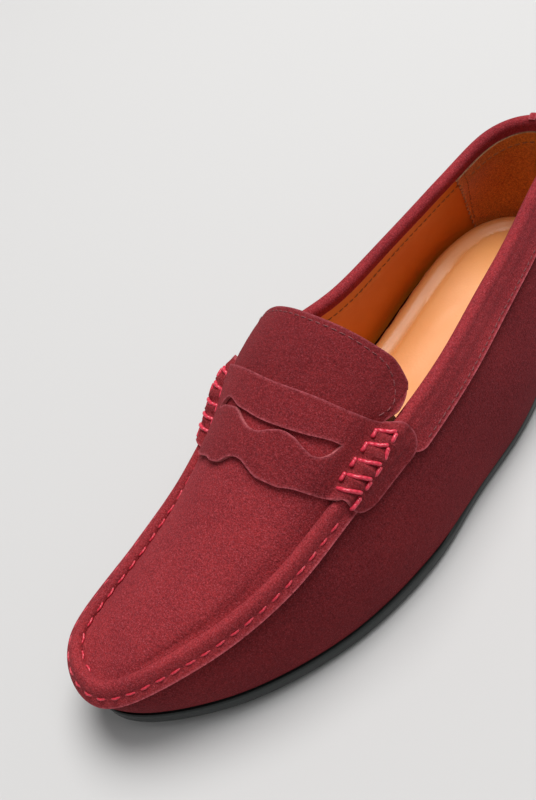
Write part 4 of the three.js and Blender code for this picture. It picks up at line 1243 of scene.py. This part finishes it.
# stitches that follow a path
def makeStitchTree():
    tree, start, end, named = newTree("stitchRow", [
        ("Pitch", "NodeSocketFloat", 0.006), ("Length", "NodeSocketFloat", 0.0036),
        ("Radius", "NodeSocketFloat", 0.0005), ("Rise", "NodeSocketFloat", 0.0009),
        ("Sink", "NodeSocketFloat", 0.0006), ("Ply", "NodeSocketFloat", 0.0012),
        ("Wander", "NodeSocketFloat", 0.08), ("Seed", "NodeSocketInt", 3),
        ("Thread", "NodeSocketMaterial", None)])
    link = tree.links.new

    def maths(operation, *values):
        return mathNode(tree, operation, *values)

    half = maths("MULTIPLY", start.outputs["Length"], 0.5)
    sink = maths("MULTIPLY", start.outputs["Sink"], -1)
    arc = tree.nodes.new("GeometryNodeCurveQuadraticBezier")
    arc.inputs["Resolution"].default_value = 9
    for label, x, z in (("Start", maths("MULTIPLY", half, -1), sink), ("Middle", 0.0, start.outputs["Rise"]),
                        ("End", half, sink)):
        corner = tree.nodes.new("ShaderNodeCombineXYZ")
        if not isinstance(x, float):
            link(x, corner.inputs["X"])
        link(z, corner.inputs["Z"])
        link(corner.outputs[0], arc.inputs[label])
    where = tree.nodes.new("GeometryNodeSplineParameter")
    fromMiddle = maths("ABSOLUTE", maths("SUBTRACT", maths("MULTIPLY", where.outputs["Factor"], 2), 1))
    belly = maths("SUBTRACT", 1.0, maths("MULTIPLY", maths("POWER", fromMiddle, 2), 0.32))
    radius = tree.nodes.new("GeometryNodeSetCurveRadius")
    link(arc.outputs[0], radius.inputs["Curve"])
    link(belly, radius.inputs["Radius"])
    along = tree.nodes.new("GeometryNodeCaptureAttribute")
    along.capture_items.new("FLOAT", "along")
    link(radius.outputs[0], along.inputs[0])
    link(where.outputs["Length"], along.inputs["along"])
    ring = tree.nodes.new("GeometryNodeCurvePrimitiveCircle")
    ring.inputs["Resolution"].default_value = 8
    link(start.outputs["Radius"], ring.inputs["Radius"])
    around = tree.nodes.new("GeometryNodeCaptureAttribute")
    around.capture_items.new("FLOAT", "around")
    turn = tree.nodes.new("GeometryNodeSplineParameter")
    link(ring.outputs[0], around.inputs[0])
    link(turn.outputs["Factor"], around.inputs["around"])
    body = tree.nodes.new("GeometryNodeCurveToMesh")
    body.inputs["Fill Caps"].default_value = True
    link(along.outputs[0], body.inputs["Curve"])
    link(around.outputs[0], body.inputs["Profile Curve"])
    turns = maths("DIVIDE", along.outputs["along"], start.outputs["Ply"])
    twist = maths("ADD", turns, around.outputs["around"])
    store = tree.nodes.new("GeometryNodeStoreNamedAttribute")
    store.data_type = "FLOAT"
    store.domain = "POINT"
    store.inputs["Name"].default_value = "twist"
    link(body.outputs[0], store.inputs["Geometry"])
    link(twist, store.inputs["Value"])
    path = tree.nodes.new("GeometryNodeMeshToCurve")
    link(start.outputs["Geometry"], path.inputs["Mesh"])
    steps = tree.nodes.new("GeometryNodeResampleCurve")
    steps.mode = "LENGTH"
    link(path.outputs[0], steps.inputs["Curve"])
    link(start.outputs["Pitch"], steps.inputs["Length"])
    tangent = tree.nodes.new("GeometryNodeInputTangent")
    faceUp = tree.nodes.new("GeometryNodeInputNamedAttribute")
    faceUp.data_type = "FLOAT_VECTOR"
    faceUp.inputs["Name"].default_value = "faceUp"
    aim = tree.nodes.new("FunctionNodeAxesToRotation")
    aim.primary_axis = "X"
    aim.secondary_axis = "Z"
    link(tangent.outputs[0], aim.inputs[0])
    link(faceUp.outputs["Attribute"], aim.inputs[1])
    wander = tree.nodes.new("FunctionNodeRandomValue")
    wander.data_type = "FLOAT_VECTOR"
    low = tree.nodes.new("ShaderNodeCombineXYZ")
    high = tree.nodes.new("ShaderNodeCombineXYZ")
    for axis in ("X", "Z"):
        link(maths("MULTIPLY", start.outputs["Wander"], -1), low.inputs[axis])
        link(start.outputs["Wander"], high.inputs[axis])
    link(low.outputs[0], wander.inputs["Min"])
    link(high.outputs[0], wander.inputs["Max"])
    link(start.outputs["Seed"], wander.inputs["Seed"])
    nudge = tree.nodes.new("FunctionNodeEulerToRotation")
    link(wander.outputs["Value"], nudge.inputs[0])
    turned = tree.nodes.new("FunctionNodeRotateRotation")
    turned.rotation_space = "LOCAL"
    link(aim.outputs[0], turned.inputs[0])
    link(nudge.outputs[0], turned.inputs[1])
    size = tree.nodes.new("FunctionNodeRandomValue")
    size.data_type = "FLOAT_VECTOR"
    size.inputs["Min"].default_value = (0.9, 0.92, 0.9)
    size.inputs["Max"].default_value = (1.08, 1.06, 1.1)
    link(start.outputs["Seed"], size.inputs["Seed"])
    copies = tree.nodes.new("GeometryNodeInstanceOnPoints")
    link(steps.outputs[0], copies.inputs["Points"])
    link(store.outputs[0], copies.inputs["Instance"])
    link(turned.outputs[0], copies.inputs["Rotation"])
    link(size.outputs["Value"], copies.inputs["Scale"])
    paintCopies(tree, copies, start.outputs["Thread"], end)
    return tree, named


stitchTree, stitchInputs = makeStitchTree()


def stitchRow(name, runs, style, thread):
    points = eased(np.concatenate([p for p, _ in runs]))
    normals = unit(np.concatenate([n for _, n in runs]))
    edges, first = [], 0
    for p, _ in runs:
        edges += [(first + n, first + n + 1) for n in range(len(p) - 1)]
        first += len(p)
    piece = looseMesh(name, points, edges)
    faceUp = piece.data.attributes.new("faceUp", "FLOAT_VECTOR", "POINT")
    faceUp.data.foreach_set("vector", normals.astype(np.float32).ravel())
    values = {label: style[label] * mm for label in ("Pitch", "Length", "Radius", "Rise", "Sink", "Ply")}
    values.update({"Wander": style["Wander"], "Seed": style["Seed"], "Thread": thread})
    return baked(piece, stitchTree, stitchInputs, values)


# Runs give points on a face of the leather and the way out of it.
def outerRun(columns, below, depth):
    u = collarU(columns)
    points = belowCrest(u, below, depth)
    return points, belowCrest(u, below, depth + 1.0) - points


# The inner foot of the rolled seam, on the outer side of the shoe or on the inner one.
def footRun(inner, first, final):
    foot = (len(apron["lengths"]) + len(apron["angles"]) - 1) * apron["steps"] - (5 if inner else 1)
    column = apronSheet.shape[1] - 1 - foot if inner else foot
    kept = (apronRows > first) & (apronRows < final)
    normals = gridNormals(apronSheet, True)[kept, column]
    normals = normals * np.where(normals[:, 2:3] < 0, -1, 1)
    return apronSheet[kept, column] + normals * (last["apronSuede"] / 2), normals


def innerRun(columns, below, deeper):
    u = collarU(columns)
    depth = -liningDepth(below) - deeper
    points = belowCrest(u, below, depth)
    return points, belowCrest(u, below, depth - 1.0) - points


seamStyle = {"Pitch": 5.8, "Length": 4.0, "Radius": 0.45, "Rise": 0.95, "Sink": 0.5, "Ply": 1.3,
             "Wander": 0.1, "Seed": 4}
fineStyle = {"Pitch": 3.1, "Length": 2.1, "Radius": 0.25, "Rise": 0.42, "Sink": 0.2, "Ply": 0.7,
             "Wander": 0.12, "Seed": 9}
liningStyle = {"Pitch": 3.1, "Length": 2.3, "Radius": 0.27, "Rise": 0.5, "Sink": 0.2, "Ply": 0.7,
               "Wander": 0.08, "Seed": 5}

half = last["apronSuede"] / 2
seamRuns = [outerRun(np.linspace(15.3, 32.9, 240), 3.15, coverDepth + half - 0.22),
            footRun(False, 1.2, 8.9), footRun(True, 1.2, 8.9)]
seamStitches = stitchRow("seamStitches", seamRuns, seamStyle, seamThread)
finishPiece(seamStitches, "root", "seam_thread", "apron_seam_thread")


def tongueRun():
    turn = np.linspace(0.02, math.pi - 0.02, 4000)
    across = 0.935 * np.sign(np.cos(turn)) * np.abs(np.cos(turn)) ** 0.42
    along = 0.04 + 0.88 * np.sin(turn) ** 0.42
    across, along = across[along > 0.3], along[along > 0.3]
    steps = np.linalg.norm(np.diff(tonguePoint(along, across, half), axis=0), axis=1)
    walked = np.concatenate([[0], np.cumsum(steps)])
    even = np.linspace(0, walked[-1], 220)
    across, along = np.interp(even, walked, across), np.interp(even, walked, along)
    points = tonguePoint(along, across, half)
    return points, tonguePoint(along, across, half + 1.0) - points


tongueStitches = stitchRow("tongueStitches", [tongueRun()], fineStyle, suedeThread)
collarDepth = coverDepth + half
for side, (first, final) in {"Medial": (36.5, 47.2), "Lateral": (48.8, 59.5)}.items():
    run = outerRun(np.linspace(first, final, 200), collar["band"] - 1.9, collarDepth)
    piece = stitchRow("collarStitches" + side, [run], fineStyle, suedeThread)
    finishPiece(piece, "root", "suede_thread", "collar_seam_thread_" + side.lower())

skin = last["lining"] * 0.4
for side, first, final, edge in (("Medial", 36.3, 48 - gripHalf - 0.1, 48 - gripHalf + 0.3),
                                 ("Lateral", 48 + gripHalf + 0.1, 59.7, 48 + gripHalf - 0.3)):
    low = np.linspace(4.4, 40, 120)
    lean = gripLean(low) * (1 if side == "Medial" else -1)
    runs = [innerRun(np.linspace(first, final, 150), lining["seam"], skin),
            innerRun(edge + lean, low, lining["over"] + skin)]
    if side == "Medial":
        columns = np.linspace(48 - gripHalf + 0.45, 48 + gripHalf - 0.45, 150)
        runs.append(innerRun(columns, lining["seam"], lining["over"] + skin))
    piece = stitchRow("liningStitches" + side, runs, liningStyle, tanThread)
    finishPiece(piece, "root", "tan_thread", "lining_seam_thread_" + side.lower())

stayRuns = []
for n in (47.8, 48.2):
    down = np.linspace(14, 46, 120)
    stayRuns.append(outerRun(np.full(120, n), down, coverDepth + backStay["thick"] / 2 + 0.02))
finishPiece(stitchRow("backStayStitches", stayRuns, fineStyle, suedeThread), "root", "suede_thread")

# lashings: a ladder of thick thread over the ridge
lashing = {"radius": 0.74, "sides": 10, "inner": 0.895, "lift": 0.35, "ply": 1.7,
           "outer": [(9.2, 1.42), (9.6, 1.4), (10.45, 1.34), (10.85, 1.2), (11.7, 1.13)]}


def cordGrid(points, radius, sides):
    tangents = unit(np.gradient(points, axis=0))
    side = unit(np.cross(tangents[0], np.array([0.3, 0.2, 0.93])))
    rings, twist, length = [], [], 0.0
    taper = np.minimum(np.minimum(np.arange(len(points)), np.arange(len(points))[::-1]) / 3.0, 1)
    for n, (p, t) in enumerate(zip(points, tangents)):
        side = unit(side - t * np.dot(side, t))
        up = np.cross(t, side)
        turn = np.arange(sides) / sides * 2 * math.pi
        size = radius * (0.35 + 0.65 * math.sqrt(taper[n]))
        rings.append(p + size * (np.cos(turn)[:, None] * side + np.sin(turn)[:, None] * up))
        length += np.linalg.norm(points[n] - points[n - 1]) if n else 0
        twist.append(length / lashing["ply"] + np.arange(sides) / sides)
    return np.array(rings), np.array(twist)


def makeLashing(name, side):
    routes = []
    sign = 1 if side == "lateral" else -1
    inner = lashing["inner"]
    rungs = saddle["rungs"]

    def outer(chord):
        return np.interp(chord, *np.array(lashing["outer"]).T)

    def route(chords, shares, sinkFirst=0.9, sinkLast=0.9):
        f = np.linspace(0, 1, 26)
        chord = np.interp(f, np.linspace(0, 1, len(chords)), chords)
        share = np.interp(f, np.linspace(0, 1, len(shares)), shares)
        normal = saddleNormal(chord, sign * share)
        place = saddlePoint(chord, sign * share)
        high = last["strapSuede"] / 2 + lashing["lift"] + 0.1
        dip = (1 - smooth(f, 0, 0.16)) * sinkFirst + smooth(f, 0.84, 1) * sinkLast
        routes.append(place + normal * (high - dip * 1.25)[:, None])

    for n, chord in enumerate(rungs):
        end = outer(chord) - 0.05
        route([chord - 0.2, chord - 0.02, chord + 0.15], [inner, (inner + end) / 2, end])
        if n + 1 < len(rungs):
            after = rungs[n + 1]
            route([chord + 0.08, after + 0.27], [outer(chord) - 0.03, outer(after + 0.13) - 0.03])
            route([chord - 0.2, chord - 0.2 - 0.5 * (chord - after)], [inner - 0.005, inner + 0.004])
    route([rungs[-1] + 0.05, rungs[-1] - 0.34], [outer(rungs[-1]), outer(9.3)])
    points, faces, twists, start = [], [], [], 0
    for path in routes:
        rings, twist = cordGrid(path, lashing["radius"], lashing["sides"])
        count, sides = rings.shape[:2]
        index = start + np.arange(count * sides).reshape(count, sides)
        ahead = np.roll(index, -1, axis=1)
        faces += np.stack([index[:-1], ahead[:-1], ahead[1:], index[1:]], axis=-1).reshape(-1, 4).tolist()
        faces += [index[0, ::-1].tolist(), index[-1].tolist()]
        points.append(rings.reshape(-1, 3))
        twists.append(twist.ravel())
        start += count * sides
    piece = makePiece(name, np.concatenate(points), faces, [0] * len(faces), [lacingThread], 60)
    layer = piece.data.attributes.new("twist", "FLOAT", "POINT")
    layer.data.foreach_set("value", np.concatenate(twists).astype(np.float32))
    return piece


finishPiece(makeLashing("lashingLateral", "lateral"), "root", "lacing_thread", "saddle_lashing_lateral")
finishPiece(makeLashing("lashingMedial", "medial"), "root", "lacing_thread", "saddle_lashing_medial")

# the tongue, its lining and its stitches are baked where they lie, and their model parts are hidden
for piece, slot, node in ((tongueTop, "suede", "tongue"), (tongueBack, "tan_leather", "tongue_lining"),
                          (tongueStitches, "suede_thread", "tongue_edge_thread")):
    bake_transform(piece)
    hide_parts(node)

# layers inside the shoe keep their shapes and take their finishes
innerFinishes = {
    "insole_board": insoleBoard, "footbed_foam": foam, "forefoot_filler": cork, "shank": steel,
    "heel_counter": stiffener, "toe_puff": stiffener, "collar_padding": foam,
}
for node, material in innerFinishes.items():
    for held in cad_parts[node].material_slots:
        held.material = material
print("inner layers finished")

# floor and light
studio = {"floorHalf": 6.0, "floor": 0.58, "sky": 0.24, "key": 64.0, "fill": 2.0, "top": 14.0}


def makeFloor():
    half = studio["floorHalf"]
    corners = [(-half, -half, 0), (half, -half, 0), (half, half, 0), (-half, half, 0)]
    mesh = bpy.data.meshes.new("studioFloor")
    mesh.from_pydata(corners, [], [(0, 1, 2, 3)])
    material = bpy.data.materials.new("paleFloor")
    material.use_nodes = True
    shader = material.node_tree.nodes["Principled BSDF"]
    shader.inputs["Base Color"].default_value = (studio["floor"],) * 3 + (1,)
    shader.inputs["Roughness"].default_value = 0.9
    shader.inputs["Specular IOR Level"].default_value = 0.1
    mesh.materials.append(material)
    floor = bpy.data.objects.new("studioFloor", mesh)
    floor.location.z = -0.0002
    bpy.context.scene.collection.objects.link(floor)


def makeLight(name, place, target, size, power, color=(1, 1, 1)):
    data = bpy.data.lights.new(name, "AREA")
    data.shape = "DISK"
    data.size = size
    data.energy = power
    data.color = color
    light = bpy.data.objects.new(name, data)
    light.location = place
    light.rotation_euler = (Vector(target) - Vector(place)).to_track_quat("-Z", "Y").to_euler()
    bpy.context.scene.collection.objects.link(light)


makeFloor()
makeLight("keyLight", (-0.3, 0.8, 2.35), (0, 0, 0.04), 1.7, studio["key"], (1.0, 0.985, 0.97))
makeLight("topLight", (0.5, 0.5, 2.4), (0, 0, 0.04), 1.8, studio["top"])
makeLight("fillLight", (0.2, -1.6, 1.5), (0, 0, 0.04), 1.4, studio["fill"])
world = bpy.data.worlds.new("studioSky")
world.use_nodes = True
world.node_tree.nodes["Background"].inputs["Color"].default_value = (1, 1, 1, 1)
world.node_tree.nodes["Background"].inputs["Strength"].default_value = studio["sky"]
bpy.context.scene.world = world
bpy.context.scene.view_settings.view_transform = "Standard"
print("studio ready")
